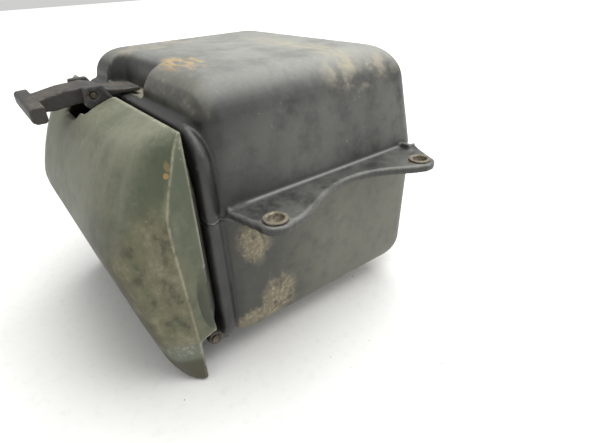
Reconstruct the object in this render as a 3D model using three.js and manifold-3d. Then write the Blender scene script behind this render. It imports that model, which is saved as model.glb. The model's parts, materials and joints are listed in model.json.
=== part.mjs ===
// Air filter housing of a small utility vehicle: a two-part moulded box with a
// bolt-on flange, a bottom-hinged access door with a lever latch, and a round
// filter element on the outlet spigot inside.
// Millimetres, +Z up, X across the door, Y from the door to the outlet side.
import * as THREE from 'three';
import { mergeVertices } from 'three/addons/utils/BufferGeometryUtils.js';
import Module from 'manifold-3d';

const wasm = await Module();
wasm.setup();

// ---------------------------------------------------------------- dimensions
const HALF_W = 100;            // half width of the box at the parting plane
const DEPTH = 160;             // rim plane to back wall at the parting plane
const TOP_Z = 71;              // top face above the parting plane
const BOTTOM_Z = -98;          // bottom face below the parting plane
const DRAFT_UP = 0.126;        // mould draft of the upper shell, radians
const DRAFT_DOWN = 0.025;      // mould draft of the lower shell, radians
const CORNER_R = 12;           // vertical corner radius
const TOP_R = 20;              // rounding of the top edges
const BOTTOM_R = 24;           // rounding of the bottom edges
const WALL = 2.8;              // moulded wall
const FRONT_Y = -1;            // front wall behind the rim bead
const GAP = 0.15;              // half of the clearance at the parting plane

const RIM_Y = -7.5;            // front face of the rim bead
const RIM_W = 99, RIM_TOP = 51, RIM_BOTTOM = -92, RIM_R = 22;
const MOUTH_W = 83, MOUTH_TOP = 24, MOUTH_BOTTOM = -66, MOUTH_R = 12;

const FLANGE_T = 5;            // flange and ear thickness
const EARS = [[124.3, 18.7], [123.6, 133.4]];
const EAR_R = 9.6, EAR_BORE = 5.6, SLEEVE_OD = 5.2, SLEEVE_ID = 4.1, SLEEVE_RIM = 7.7;

const HINGE_Y = -11.5, HINGE_Z = -86.5, KNUCKLE_R = 4.9, PIN_R = 2.0;
const LATCH_X = -18, LATCH_Y = -25, LATCH_Z = 55, LATCH_PIN_R = 1.8;

const FILTER_Z = -21;          // axis of the element, along Y at X = 0
const OUTLET_R = 22.5;          // outlet spigot outer radius
const BOX_CENTRE_Y = 62;       // middle of the whole part, front to back
const FOOT_Z = -109;           // lowest point: the lip of the door

// ------------------------------------------------------------------- helpers
const V = (x, y, z) => new THREE.Vector3(x, y, z);

function solid(geometry) {
  let g = geometry.clone();
  for (const name of Object.keys(g.attributes)) if (name !== 'position') g.deleteAttribute(name);
  g = mergeVertices(g, 1e-4);
  const pos = g.attributes.position.array, idx = g.index.array;
  const tri = [];
  for (let i = 0; i < idx.length; i += 3) {
    const [a, b, c] = [idx[i], idx[i + 1], idx[i + 2]];
    if (a !== b && b !== c && c !== a) tri.push(a, b, c);
  }
  let vol = 0;
  const p = (k) => V(pos[3 * k], pos[3 * k + 1], pos[3 * k + 2]);
  for (let i = 0; i < tri.length; i += 3) vol += p(tri[i]).dot(p(tri[i + 1]).cross(p(tri[i + 2])));
  if (vol < 0) for (let i = 0; i < tri.length; i += 3) [tri[i], tri[i + 1]] = [tri[i + 1], tri[i]];
  return new wasm.Manifold(new wasm.Mesh({
    numProp: 3, vertProperties: new Float32Array(pos), triVerts: new Uint32Array(tri) }));
}

function toGeometry(m) {
  const mesh = m.getMesh();
  const g = new THREE.BufferGeometry();
  const n = mesh.numProp, src = mesh.vertProperties, out = new Float32Array(src.length / n * 3);
  for (let i = 0; i < src.length / n; i++) for (let k = 0; k < 3; k++) out[3 * i + k] = src[n * i + k];
  g.setAttribute('position', new THREE.BufferAttribute(out, 3));
  g.setIndex(Array.from(mesh.triVerts));
  g.computeVertexNormals();
  return g;
}

function mirrorX(m) {
  const g = toGeometry(m);
  g.scale(-1, 1, 1);
  return solid(g);
}

function box(x0, x1, y0, y1, z0, z1) {
  const g = new THREE.BoxGeometry(x1 - x0, y1 - y0, z1 - z0);
  g.translate((x0 + x1) / 2, (y0 + y1) / 2, (z0 + z1) / 2);
  return solid(g);
}

// cylinder or cone from a to b
function rod(a, b, r, r2 = r, seg = 16) {
  const d = new THREE.Vector3().subVectors(b, a);
  const g = new THREE.CylinderGeometry(r2, r, d.length(), seg);
  g.translate(0, d.length() / 2, 0);
  g.applyQuaternion(new THREE.Quaternion().setFromUnitVectors(V(0, 1, 0), d.normalize()));
  g.translate(a.x, a.y, a.z);
  return solid(g);
}

// turned profile [[radius, along], ...] closed on itself or on the axis, about an axis through c
function turned(profile, c, dir, seg = 20) {
  const g = new THREE.LatheGeometry(profile.map(([r, h]) => new THREE.Vector2(r, h)), seg);
  g.applyQuaternion(new THREE.Quaternion().setFromUnitVectors(V(0, 1, 0), dir.clone().normalize()));
  g.translate(c.x, c.y, c.z);
  return solid(g);
}

// a closed pipe wall from radius r0 to r1 between heights h0 and h1
const pipe = (r0, r1, h0, h1, c, dir, seg = 20) =>
  turned([[r0, h0], [r1, h0], [r1, h1], [r0, h1], [r0, h0]], c, dir, seg);

// rounded rectangle points, counter-clockwise, in 2-D
function roundedRect(x0, x1, y0, y1, r, seg = 5) {
  const pts = [];
  for (const [cx, cy, a0] of [[x1 - r, y0 + r, -90], [x1 - r, y1 - r, 0], [x0 + r, y1 - r, 90], [x0 + r, y0 + r, 180]])
    for (let i = 0; i <= seg; i++) {
      const a = (a0 + 90 * i / seg) * Math.PI / 180;
      pts.push([cx + r * Math.cos(a), cy + r * Math.sin(a)]);
    }
  return pts;
}

// an extruded regular polygon whose rings are carried onto the given closed rings
function loft(rings) {
  const n = rings[0].length, k = rings.length - 1;
  const base = [];
  for (let i = 0; i < n; i++) base.push(new THREE.Vector2(Math.cos(2 * Math.PI * i / n), Math.sin(2 * Math.PI * i / n)));
  const g = new THREE.ExtrudeGeometry(new THREE.Shape(base), { depth: k, steps: k, bevelEnabled: false });
  const p = g.attributes.position;
  for (let v = 0; v < p.count; v++) {
    let a = Math.atan2(p.getY(v), p.getX(v));
    if (a < 0) a += 2 * Math.PI;
    const i = Math.round(a * n / (2 * Math.PI)) % n, level = Math.round(p.getZ(v));
    const q = rings[level][i];
    p.setXYZ(v, q[0], q[1], q[2]);
  }
  return solid(g);
}

// a closed outline in the plane across an axis, swept straight between two heights
function prism(points, axis, h0, h1) {
  const shape = new THREE.Shape(points.map(([a, b]) => new THREE.Vector2(a, b)));
  const g = new THREE.ExtrudeGeometry(shape, { depth: h1 - h0, bevelEnabled: false });
  g.translate(0, 0, h0);
  const p = g.attributes.position;
  for (let v = 0; v < p.count; v++) {
    const a = p.getX(v), b = p.getY(v), h = p.getZ(v);
    if (axis === 'x') p.setXYZ(v, h, a, b);
    else if (axis === 'y') p.setXYZ(v, a, h, b);
    else p.setXYZ(v, a, b, h);
  }
  return solid(g);
}

// a round rod along a curve
function bentRod(points, r, seg = 10, steps = 24) {
  const curve = new THREE.CatmullRomCurve3(points, false, 'centripetal');
  const shape = new THREE.Shape();
  shape.absarc(0, 0, r, 0, Math.PI * 2, false);
  const ring = shape.getPoints(seg).slice(0, -1);
  return solid(new THREE.ExtrudeGeometry(new THREE.Shape(ring), { steps, bevelEnabled: false, extrudePath: curve }));
}

const all = (list) => list.reduce((a, b) => a.add(b));

// ---------------------------------------------------------------- box shells
// horizontal section of the box at height z, shrunk inwards by t
function boxRing(z, t) {
  const up = z >= 0;
  const drop = up ? z * Math.tan(DRAFT_UP) : -z * Math.tan(DRAFT_DOWN);
  const R = up ? TOP_R : BOTTOM_R, edge = up ? TOP_Z - R : -(BOTTOM_Z + R);
  const over = Math.max(0, Math.abs(z) - edge);
  const round = R - Math.sqrt(Math.max(0, R * R - over * over));
  const s = drop + round;
  const r = Math.max(CORNER_R - round, 2.5);
  return roundedRect(-HALF_W + s, HALF_W - s, FRONT_Y + round, DEPTH - s, r, 4).map(([x, y]) => [x, y, z]);
}
function boxRingInner(z, zs) {
  const ring = boxRing(zs, 0);
  const cx = 0, cy = (FRONT_Y + DEPTH) / 2;
  return ring.map(([x, y]) => [cx + (x - cx) * (1 - WALL / HALF_W), cy + (y - cy) * (1 - WALL * 2 / (DEPTH - FRONT_Y)), z]);
}
function boxHeights(sign) {
  const R = sign > 0 ? TOP_R : BOTTOM_R, end = sign > 0 ? TOP_Z : -BOTTOM_Z;
  const hs = [0, (end - R) / 2];
  for (let i = 0; i <= 5; i++) hs.push(end - R + R * Math.sin(i / 5 * Math.PI / 2));
  return hs;
}
function boxHalf(sign, inner) {
  const end = sign > 0 ? TOP_Z : -BOTTOM_Z;
  const rings = [];
  if (inner) {
    for (const h of boxHeights(sign)) rings.push(boxRingInner(sign * h * (end - WALL) / end, sign * h));
    rings.unshift(rings[0].map(([x, y]) => [x, y, -sign * 2]));
  } else for (const h of boxHeights(sign)) rings.push(boxRing(sign * h, 0));
  return loft(sign > 0 ? rings : rings.reverse());
}
const rimRing = (y, s) => roundedRect(-RIM_W + s, RIM_W - s, RIM_BOTTOM + s, RIM_TOP - s, RIM_R - s * 0.5, 5)
  .map(([x, z]) => [x, y, z]).reverse();
const rim = loft([[0, 3], [0.7, 1.2], [2.2, 0.2], [4.5, 0], [7, 0.9], [10, 4.5]].map(([y, s]) => rimRing(RIM_Y + y, s)));
const mouth = prism(roundedRect(-MOUTH_W, MOUTH_W, MOUTH_BOTTOM, MOUTH_TOP, MOUTH_R, 5), 'y', -20, 12);
const above = box(-200, 200, -60, 260, GAP, 200), below = box(-200, 200, -60, 260, -200, -GAP);

// flange along each side, with an ear at each end of it
function flange() {
  const pts = [[95, 5], [99.5, 4]];
  const [a, b] = EARS;
  const arc = (cx, cy, r, from, to, n) => {
    for (let i = 0; i <= n; i++) {
      const t = (from + (to - from) * i / n) * Math.PI / 180;
      pts.push([cx + r * Math.cos(t), cy + r * Math.sin(t)]);
    }
  };
  arc(a[0], a[1], EAR_R, -95, 20, 9);
  pts.push([130.5, 34], [123.5, 48], [116.5, 62], [113.3, 73], [112.6, 82], [113.2, 91], [116.2, 101], [122, 112], [129, 122]);
  arc(b[0], b[1], EAR_R, -18, 82, 8);
  pts.push([112, 149], [104, 152], [95, 152]);
  return prism(pts, 'z', GAP, FLANGE_T);
}
const earBore = all(EARS.map(([x, y]) => rod(V(x, y, -5), V(x, y, 12), EAR_BORE)));

// hollow in the front edge of the top, where the latch reaches over the rim; grow > 0 gives the block that backs its wall
const valley = (grow) => loft([[49.5 - grow, 0], [56, 0.6], [63, 1.6], [69, 3.4], [grow ? 73 : 78, grow ? 5 : 8]]
  .map(([z, o]) => roundedRect(LATCH_X - 34.5 - grow - o, LATCH_X + 34.5 + grow + o, -30, 10.5 + grow + o * 1.2, 8, 5).map(([x, y]) => [x, y, z])));

const upperCavity = boxHalf(1, true).subtract(valley(2.8));
let upper = boxHalf(1, false).add(rim.intersect(above)).subtract(upperCavity).subtract(valley(0).intersect(box(-200, 200, -0.4, 60, 40, 90).add(box(-200, 200, -20, 60, 51.05, 90))))
  .subtract(mouth).add(flange()).add(mirrorX(flange()));
upper = upper.subtract(earBore).subtract(mirrorX(earBore));
upper = upper.intersect(above).subtract(upperCavity);

let lower = boxHalf(-1, false).add(rim.intersect(below)).subtract(boxHalf(-1, true)).subtract(mouth);
const knuckle = (x0, x1) => {
  const arm = box(x0, x1, HINGE_Y, -2, HINGE_Z - 4, HINGE_Z + 3.4);
  return arm.add(rod(V(x0, HINGE_Y, HINGE_Z), V(x1, HINGE_Y, HINGE_Z), KNUCKLE_R));
};
const pinBore = rod(V(50, HINGE_Y, HINGE_Z), V(98, HINGE_Y, HINGE_Z), PIN_R + 0.3, PIN_R + 0.3, 20);
for (const k of [knuckle(80, 90)]) lower = lower.add(k).add(mirrorX(k));
const knuckleRoom = rod(V(65.6, HINGE_Y, HINGE_Z), V(79.8, HINGE_Y, HINGE_Z), KNUCKLE_R + 0.6);
lower = lower.intersect(below).subtract(pinBore).subtract(mirrorX(pinBore)).subtract(knuckleRoom).subtract(mirrorX(knuckleRoom));

// back wall openings and their spigots
const BACK = V(0, 1, 0);
const outletC = V(0, 150, FILTER_Z), inletC = V(-58, 150, 34), breatherC = V(62, 150, 40), drainC = V(70, 150, -84);
lower = lower.subtract(rod(V(0, 140, FILTER_Z), V(0, 175, FILTER_Z), OUTLET_R + 0.6, OUTLET_R + 0.6, 24));
lower = lower.add(pipe(3.4, 5.4, 0, 18, drainC, BACK, 16)).subtract(rod(V(70, 145, -84), V(70, 180, -84), 3.4, 3.4, 16));
upper = upper.subtract(rod(V(0, 140, FILTER_Z), V(0, 175, FILTER_Z), OUTLET_R + 0.6, OUTLET_R + 0.6, 24));
upper = upper.subtract(rod(V(-58, 135, 34), V(-58, 175, 34), 17.6, 17.6, 22));
upper = upper.subtract(rod(V(62, 135, 40), V(62, 175, 40), 6.5, 6.5, 16));

// -------------------------------------------------------------------- door
// rows: height, front face, crisp crease at the side, soft crease nearer the middle (all as Y)
const DOOR = [
  [53, -15.6, -14, -14.9], [50, -26, -15.5, -22], [45, -36, -18, -25.6], [36, -42.5, -20.8, -29.7], [25, -48.5, -24.5, -34.6],
  [12, -54, -28, -41.3], [0, -57.6, -28.5, -48.6], [-9, -59.3, -28.2, -54], [-14, -58.9, -28, -55.4], [-35, -54.5, -27, -50.5],
  [-62, -49, -26, -46.3], [-86, -43.8, -24.9, -40], [-100, -40.5, -24.6, -36], [-109, -37, -24.8, -31],
];
const DOOR_W = 98, DOOR_T = 3, RETURN_Y = -12.7;
function doorRing([z, front, crease, soft], t, rear) {
  const k = t / 3;
  const yf = front + t, ys = soft + 2.3 * k, yc = crease + 1.0 * k;
  const right = [[DOOR_W - t, rear], [DOOR_W - t, yc + 0.9], [DOOR_W - 0.5 - t, yc], [90 - 2.4 * k, ys],
    [83 - 2 * k, ys + (yf - ys) * 0.5], [74 - 1.5 * k, ys + (yf - ys) * 0.84], [60, yf]];
  return right.concat(right.slice().reverse().map(([x, y]) => [-x, y])).map(([x, y]) => [x, y, z]).reverse();
}
const doorOuter = loft(DOOR.map((r) => doorRing(r, 0, RETURN_Y)).reverse());
const inRows = DOOR.map((r, i) => [i === 0 ? 50 : i === 1 ? 47.6 : i === 2 ? 43.2 : r[0] + 0.11,
  i === 0 ? -17.4 : r[1], i === 0 ? -15.2 : r[2], i === 0 ? -16.5 : r[3]]);
inRows[inRows.length - 1][0] = -114;
const doorInner = loft(inRows.map((r) => doorRing(r, DOOR_T, RETURN_Y + 30)).reverse());
let panel = doorOuter.subtract(doorInner);
// below the returns only the face goes on, as a lip
panel = panel.subtract(prism([[-23.2, -75.3], [-6, -70.3], [-6, -122], [-23.2, -122]], 'x', -110, 110));
// bosses for the screws that hold the liner
const POSTS = [[-76, 16], [76, 16], [-76, -56], [76, -56]];
POSTS.forEach(([x, z]) => {
  panel = panel.add(rod(V(x, -15.3, z), V(x, -70, z), 4.4, 4.4, 16).intersect(doorOuter));
  panel = panel.subtract(rod(V(x, -32, z), V(x, -10, z), 1.9, 1.9, 14));
});
// window in the top shoulder for the latch lever and its bracket
panel = panel.subtract(box(LATCH_X - 21.5, LATCH_X + 21.5, -33, -8, 40, 60)).subtract(box(LATCH_X - 14, LATCH_X + 14, -40, -32, 41, 60));

// liner: a shallow tray with a double rib for the seal
const outline = (e, r) => roundedRect(-94.6 + e, 94.6 - e, -78 + e, 49.5 - e, r, 4);
const sealPath = (e, r) => roundedRect(-94.6 + e, 94.6 - e, -78 + e, 36 - e, r, 4);
let liner = prism(outline(0, 20), 'y', -15, -12.6)
  .add(prism(outline(0, 20), 'y', -15, -10.4).subtract(prism(outline(2.2, 18), 'y', -30, 0)))
  .add(prism(sealPath(0, 20), 'y', -15, -10.4).subtract(prism(sealPath(2.2, 18), 'y', -30, 0)))
  .add(prism(sealPath(10.5, 12), 'y', -15, -10.4).subtract(prism(sealPath(12.7, 10), 'y', -30, 0)));
for (const x of [-60, -25, 25, 60]) liner = liner.add(box(x - 1.1, x + 1.1, -23, -14, -62, 28));
const doorKnuckle = box(66, 79.4, HINGE_Y - 4.5, -12.7, HINGE_Z, -74)
  .add(rod(V(66, HINGE_Y, HINGE_Z), V(79.4, HINGE_Y, HINGE_Z), KNUCKLE_R))
  .add(box(66, 79.4, -22.5, HINGE_Y, HINGE_Z - 3.3, HINGE_Z + 2));
liner = liner.add(doorKnuckle).add(mirrorX(doorKnuckle));
POSTS.forEach(([x, z]) => { liner = liner.subtract(rod(V(x, -20, z), V(x, -2, z), 2.1, 2.1, 16)); });
liner = liner.subtract(pinBore).subtract(mirrorX(pinBore));
// latch bracket: two cheeks on the liner
for (const x of [LATCH_X - 19.6, LATCH_X + 16.6]) {
  liner = liner.add(prism([[-15, 36], [-12.6, 36], [-12.6, 50], [-19, 60.6], [-30.5, 60.6], [-31, 50], [-22, 39]], 'x', x, x + 3));
}
liner = liner.subtract(rod(V(LATCH_X - 30, LATCH_Y, LATCH_Z), V(LATCH_X + 30, LATCH_Y, LATCH_Z), LATCH_PIN_R + 0.3, LATCH_PIN_R + 0.3, 18));

const seal = prism(sealPath(2.6, 17.4), 'y', -12.3, -9).subtract(prism(sealPath(10.1, 12.4), 'y', -30, 5))
  .add(prism(sealPath(4.4, 15.6), 'y', -10, -7.8).subtract(prism(sealPath(8.2, 13.2), 'y', -30, 5)));

// ------------------------------------------------------------------- latch
// lever: a cross bar to press, a neck over the pin, and a nose that lies over the rim
let lever = prism([
  [LATCH_Y, LATCH_Z + 5], [-40, LATCH_Z + 4], [-54, LATCH_Z + 1.5], [-54, 49], [-46, 48.6], [-34, 50.2], [LATCH_Y, LATCH_Z - 4.6],
  [-18, 51], [-9, 51.5], [5.2, 51.5], [6.6, 52.6], [5.8, 54.2], [-6, 54.8], [-14, 56], [-18, 58.2]], 'x', LATCH_X - 12.5, LATCH_X + 12.5);
lever = lever.add(prism([[-54, 56.5], [-60.5, 56.2], [-62, 54.5], [-62, 48.5], [-60, 47], [-55, 47], [-53.5, 48.5], [-53.5, 55.5]], 'x', LATCH_X - 30, LATCH_X + 30));
lever = lever.subtract(rod(V(LATCH_X - 30, LATCH_Y, LATCH_Z), V(LATCH_X + 30, LATCH_Y, LATCH_Z), LATCH_PIN_R + 0.3, LATCH_PIN_R + 0.3, 18));

// ------------------------------------------------------------------ output
const root = new THREE.Group();
const frame = new THREE.Group();
frame.position.set(0, -BOX_CENTRE_Y, -FOOT_Z);
root.add(frame);
const M = (hex, roughness, metalness = 0) => new THREE.MeshStandardMaterial({ color: hex, roughness, metalness });
const BLACK = [0x2b2c2e, 0.55], GREEN = [0x46543f, 0.5], RUBBER = [0x1c1c1c, 0.85], STEEL = [0x8a8377, 0.45, 0.9], ZINC = [0xa8a59a, 0.4, 0.9];
function part(name, m, mat) {
  const mesh = new THREE.Mesh(m instanceof THREE.BufferGeometry ? m : toGeometry(m), M(...mat));
  mesh.name = name;
  frame.add(mesh);
}

part('upper_shell', upper, BLACK);
part('lower_shell', lower, BLACK);
part('door_panel', panel, GREEN);
part('door_liner', liner, BLACK);
part('door_seal', seal, RUBBER);
part('latch_lever', lever, BLACK);
part('latch_pin', rod(V(LATCH_X - 20, LATCH_Y, LATCH_Z), V(LATCH_X + 20.2, LATCH_Y, LATCH_Z), LATCH_PIN_R, LATCH_PIN_R, 18).add(rod(V(LATCH_X - 20.9, LATCH_Y, LATCH_Z), V(LATCH_X - 19.9, LATCH_Y, LATCH_Z), 3, 3, 18)), ZINC);

// torsion spring beside the lever, round the pin
{
  part('latch_spring', bentRod([...Array(25).keys()].map((i) => {
    const a = i / 24 * 1.86 * 2 * Math.PI;
    return V(LATCH_X + 13.45 + 2.1 * i / 24, LATCH_Y + 3.3 * Math.cos(a), LATCH_Z + 3.3 * Math.sin(a));
  }), 0.45, 4, 24), ZINC);
}

EARS.forEach(([x, y], i) => [1, -1].forEach((s) => {
  const name = `ear_sleeve_${i === 0 ? 'front' : 'rear'}_${s > 0 ? 'right' : 'left'}`;
  part(name, turned([[SLEEVE_ID, 0.2], [SLEEVE_OD, 0.2], [SLEEVE_OD, FLANGE_T + 0.3], [SLEEVE_RIM, FLANGE_T + 0.3], [SLEEVE_RIM - 0.4, FLANGE_T + 1.4], [SLEEVE_ID, FLANGE_T + 1.4], [SLEEVE_ID, 0.2]], V(s * x, y, 0), V(0, 0, 1), 16), STEEL);
}));

for (const s of [1, -1]) {
  const pin = rod(V(65.2, HINGE_Y, HINGE_Z), V(91, HINGE_Y, HINGE_Z), PIN_R, PIN_R, 18).add(rod(V(90.4, HINGE_Y, HINGE_Z), V(91.4, HINGE_Y, HINGE_Z), 3.2, 3.2, 18));
  part(s > 0 ? 'hinge_pin_right' : 'hinge_pin_left', s > 0 ? pin : mirrorX(pin), ZINC);
}
POSTS.forEach(([x, z], i) => {
  const screw = rod(V(x, -12.3, z), V(x, -10.2, z), 4, 3.3, 18).add(rod(V(x, -27, z), V(x, -12, z), 1.6, 1.6, 12))
    .subtract(box(x - 0.5, x + 0.5, -11.2, -7, z - 2.2, z + 2.2)).subtract(box(x - 2.2, x + 2.2, -11.2, -7, z - 0.5, z + 0.5));
  part(`panel_screw_${['upper_left', 'upper_right', 'lower_left', 'lower_right'][i]}`, screw, ZINC);
});

// filter element on the outlet spigot
const FC = V(0, 0, FILTER_Z);
part('outlet_tube', turned([[OUTLET_R - 3, 118], [OUTLET_R, 118], [OUTLET_R, 151], [OUTLET_R + 8, 151], [OUTLET_R + 8, 153.2], [OUTLET_R, 153.2], [OUTLET_R, 162.5], [OUTLET_R + 6, 162.5], [OUTLET_R + 6, 165.5], [OUTLET_R + 0.5, 167], [OUTLET_R + 0.5, 182], [OUTLET_R + 2, 183.5], [OUTLET_R + 1, 186], [OUTLET_R - 3, 186], [OUTLET_R - 3, 118]], FC, BACK, 22), RUBBER);
part('outlet_clamp', pipe(OUTLET_R + 0.85, OUTLET_R + 1.7, 170, 180, FC, BACK, 22)
  .add(box(-7, 7, 171, 179, FILTER_Z + OUTLET_R + 1.2, FILTER_Z + OUTLET_R + 7)).subtract(rod(V(-10, 175, FILTER_Z + OUTLET_R + 4.4), V(10, 175, FILTER_Z + OUTLET_R + 4.4), 2.1, 2.1, 16)), ZINC);
part('clamp_screw', rod(V(-9, 175, FILTER_Z + OUTLET_R + 4.4), V(8, 175, FILTER_Z + OUTLET_R + 4.4), 1.8, 1.8, 14)
  .add(rod(V(8, 175, FILTER_Z + OUTLET_R + 4.4), V(12, 175, FILTER_Z + OUTLET_R + 4.4), 3.6, 3.6, 6)), ZINC);

// pleated paper between an inner and an outer cage
function star(r0, r1, n) {
  const s = new THREE.Shape();
  for (let i = 0; i < n * 2; i++) {
    const a = i / (n * 2) * 2 * Math.PI, r = i % 2 ? r0 : r1;
    if (i) s.lineTo(r * Math.cos(a), r * Math.sin(a)); else s.moveTo(r * Math.cos(a), r * Math.sin(a));
  }
  s.closePath();
  const h = new THREE.Path();
  for (let i = n * 2 - 1; i >= 0; i--) {
    const a = i / (n * 2) * 2 * Math.PI, r = (i % 2 ? r0 : r1) - 1.6;
    if (i < n * 2 - 1) h.lineTo(r * Math.cos(a), r * Math.sin(a)); else h.moveTo(r * Math.cos(a), r * Math.sin(a));
  }
  h.closePath();
  s.holes.push(h);
  const g = new THREE.ExtrudeGeometry(s, { depth: 66, bevelEnabled: false });
  g.rotateX(-Math.PI / 2);
  g.translate(0, 46.3, FILTER_Z);
  return solid(g);
}
part('filter_media', star(28.6, 37, 30), [0xb9a682, 0.9]);
const cageBars = [];
for (let i = 0; i < 8; i++) {
  const a = (i + 0.5) / 8 * 2 * Math.PI;
  cageBars.push(rod(V(25.6 * Math.cos(a), 45.2, FILTER_Z + 25.6 * Math.sin(a)), V(25.6 * Math.cos(a), 113.8, FILTER_Z + 25.6 * Math.sin(a)), 0.9, 0.9, 5));
}
part('filter_cage', all(cageBars).add(pipe(24.7, 26.5, 45, 48, FC, BACK, 16)).add(pipe(24.7, 26.5, 78, 80, FC, BACK, 16)).add(pipe(24.7, 26.5, 111, 114, FC, BACK, 16)), ZINC);
part('foam_sleeve', pipe(37.4, 42, 46.3, 112.3, FC, BACK, 22), [0x3d4a5c, 0.95]);
part('filter_end_cap', turned([[0, 36], [12, 36], [14, 38], [36, 38], [41.5, 39.5], [43, 42], [43, 49], [42.3, 49], [42.3, 46], [27, 46], [27, 44.4], [0, 44.4]], FC, BACK, 22)
  .add(box(-18, 18, 29, 37, FILTER_Z - 1.6, FILTER_Z + 1.6)), RUBBER);
part('filter_neck', turned([[OUTLET_R + 0.4, 114.3], [27, 114.3], [27, 112.6], [42.3, 112.6], [42.3, 109], [43, 109], [43, 116], [40, 118.5], [29, 119], [OUTLET_R + 3.4, 122], [OUTLET_R + 3.4, 140], [OUTLET_R + 0.4, 140], [OUTLET_R + 0.4, 114.3]], FC, BACK, 22), RUBBER);
part('filter_clamp', pipe(OUTLET_R + 3.75, OUTLET_R + 4.6, 126, 135, FC, BACK, 22)
  .add(box(-6, 6, 127, 134, FILTER_Z + OUTLET_R + 4.1, FILTER_Z + OUTLET_R + 9)), ZINC);

// fresh air inlet, breather elbow, drain cap
part('inlet_duct', turned([[14, 0], [17, 0], [17, 4.4], [21, 4.4], [21, 6.6], [17, 6.6], [17, 16.6], [21, 16.6], [21, 18.6], [17, 18.6], [17, 34], [18, 35], [17, 37], [14, 37], [14, 0]], V(-58, 142, 34), BACK, 20), RUBBER);
part('inlet_clip', pipe(17.35, 18.4, 23, 29, V(-58, 142, 34), BACK, 20), ZINC);
part('breather_grommet', turned([[3.5, 4], [6, 4], [6, 6.2], [9, 6.2], [9, 8.5], [6, 8.5], [6, 14.6], [9, 14.6], [9, 16.6], [3.5, 16.6], [3.5, 4]], V(62, 142, 40), BACK, 16), RUBBER);
part('breather_nipple', turned([[2, 0], [5, 0], [5, 3], [3.2, 3.4], [3.2, 30], [4, 31.5], [3.2, 33.5], [2, 33.5], [2, 0]], V(62, 142, 40), BACK, 14), BLACK);
part('drain_cap', turned([[5.7, 160.6 - 150], [7.4, 160.6 - 150], [7.4, 19.5], [5, 23.5], [3, 30], [0, 30], [0, 18.4], [5.7, 18.4], [5.7, 160.6 - 150]], drainC, BACK, 16), RUBBER);

export default root;
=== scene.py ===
"""Air filter housing: the shown pieces, their procedural finishes, floor, light and camera.

Lengths in the shape code are millimetres in the drawing axes (X across the front, Y front to back,
Z up with the parting plane at 0); P() carries them into the row frame, in metres.
"""

import json
import math

import bpy
import bmesh
import numpy as np
from mathutils import Matrix, Vector


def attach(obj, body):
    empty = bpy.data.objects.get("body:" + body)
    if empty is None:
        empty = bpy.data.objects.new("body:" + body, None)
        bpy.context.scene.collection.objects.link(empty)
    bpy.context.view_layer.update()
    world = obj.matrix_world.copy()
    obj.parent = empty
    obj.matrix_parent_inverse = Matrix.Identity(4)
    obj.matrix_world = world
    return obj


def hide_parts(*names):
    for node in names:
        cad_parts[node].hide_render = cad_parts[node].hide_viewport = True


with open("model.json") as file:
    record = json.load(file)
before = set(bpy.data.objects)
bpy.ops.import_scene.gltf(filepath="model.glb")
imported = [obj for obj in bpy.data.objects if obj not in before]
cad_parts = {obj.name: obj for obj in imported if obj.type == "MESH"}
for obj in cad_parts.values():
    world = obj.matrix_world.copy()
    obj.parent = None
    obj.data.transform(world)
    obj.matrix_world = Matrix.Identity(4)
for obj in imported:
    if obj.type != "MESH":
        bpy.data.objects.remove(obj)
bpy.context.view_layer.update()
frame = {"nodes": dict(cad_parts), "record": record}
scene = bpy.context.scene
SHIFT = (0.0, -62.0, 109.0)


def P(x, y, z):
    return ((x + SHIFT[0]) * 0.001, (y + SHIFT[1]) * 0.001, (z + SHIFT[2]) * 0.001)


# ------------------------------------------------------------------ mesh tools
def raw(name, verts, faces):
    me = bpy.data.meshes.new(name)
    me.from_pydata([P(*v) for v in verts], [], faces)
    bm = bmesh.new()
    bm.from_mesh(me)
    bmesh.ops.remove_doubles(bm, verts=bm.verts, dist=1e-7)
    bmesh.ops.dissolve_degenerate(bm, edges=bm.edges, dist=1e-8)
    bmesh.ops.recalc_face_normals(bm, faces=bm.faces)
    bm.to_mesh(me)
    bm.free()
    o = bpy.data.objects.new(name, me)
    scene.collection.objects.link(o)
    return o


def settle(o):
    """Turns the modifiers of an object into its mesh."""
    dg = bpy.context.evaluated_depsgraph_get()
    me = bpy.data.meshes.new_from_object(o.evaluated_get(dg))
    old = o.data
    o.modifiers.clear()
    o.data = me
    if old.users == 0:
        bpy.data.meshes.remove(old)
    return o


def combine(a, b, how):
    m = a.modifiers.new("cut", "BOOLEAN")
    m.object = b
    m.operation = how
    m.solver = "MANIFOLD"
    before = len(a.data.polygons)
    keep = a.data.copy()
    settle(a)
    if len(a.data.polygons) == 0 and before:
        a.data = keep
        m = a.modifiers.new("cut", "BOOLEAN")
        m.object = b
        m.operation = how
        m.solver = "EXACT"
        settle(a)
    elif keep.users == 0:
        bpy.data.meshes.remove(keep)
    bpy.data.objects.remove(b)
    return a


def cut(a, *tools):
    for b in tools:
        combine(a, b, "DIFFERENCE")
    return a


def add(a, *tools):
    for b in tools:
        combine(a, b, "UNION")
    return a


def keep_inside(a, b):
    return combine(a, b, "INTERSECT")


def twin(o, sx=1):
    me = o.data.copy()
    if sx < 0:
        me.transform(Matrix.Scale(-1, 4, (1, 0, 0)))
        me.flip_normals()
    q = bpy.data.objects.new(o.name + "_twin", me)
    scene.collection.objects.link(q)
    return q


def loft(rings, name="loft"):
    n = len(rings[0])
    verts = [p for r in rings for p in r]
    faces = [
        (k * n + i, k * n + (i + 1) % n, (k + 1) * n + (i + 1) % n, (k + 1) * n + i)
        for k in range(len(rings) - 1)
        for i in range(n)
    ]
    faces.append(tuple(reversed(range(n))))
    faces.append(tuple((len(rings) - 1) * n + i for i in range(n)))
    return raw(name, verts, faces)


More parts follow.
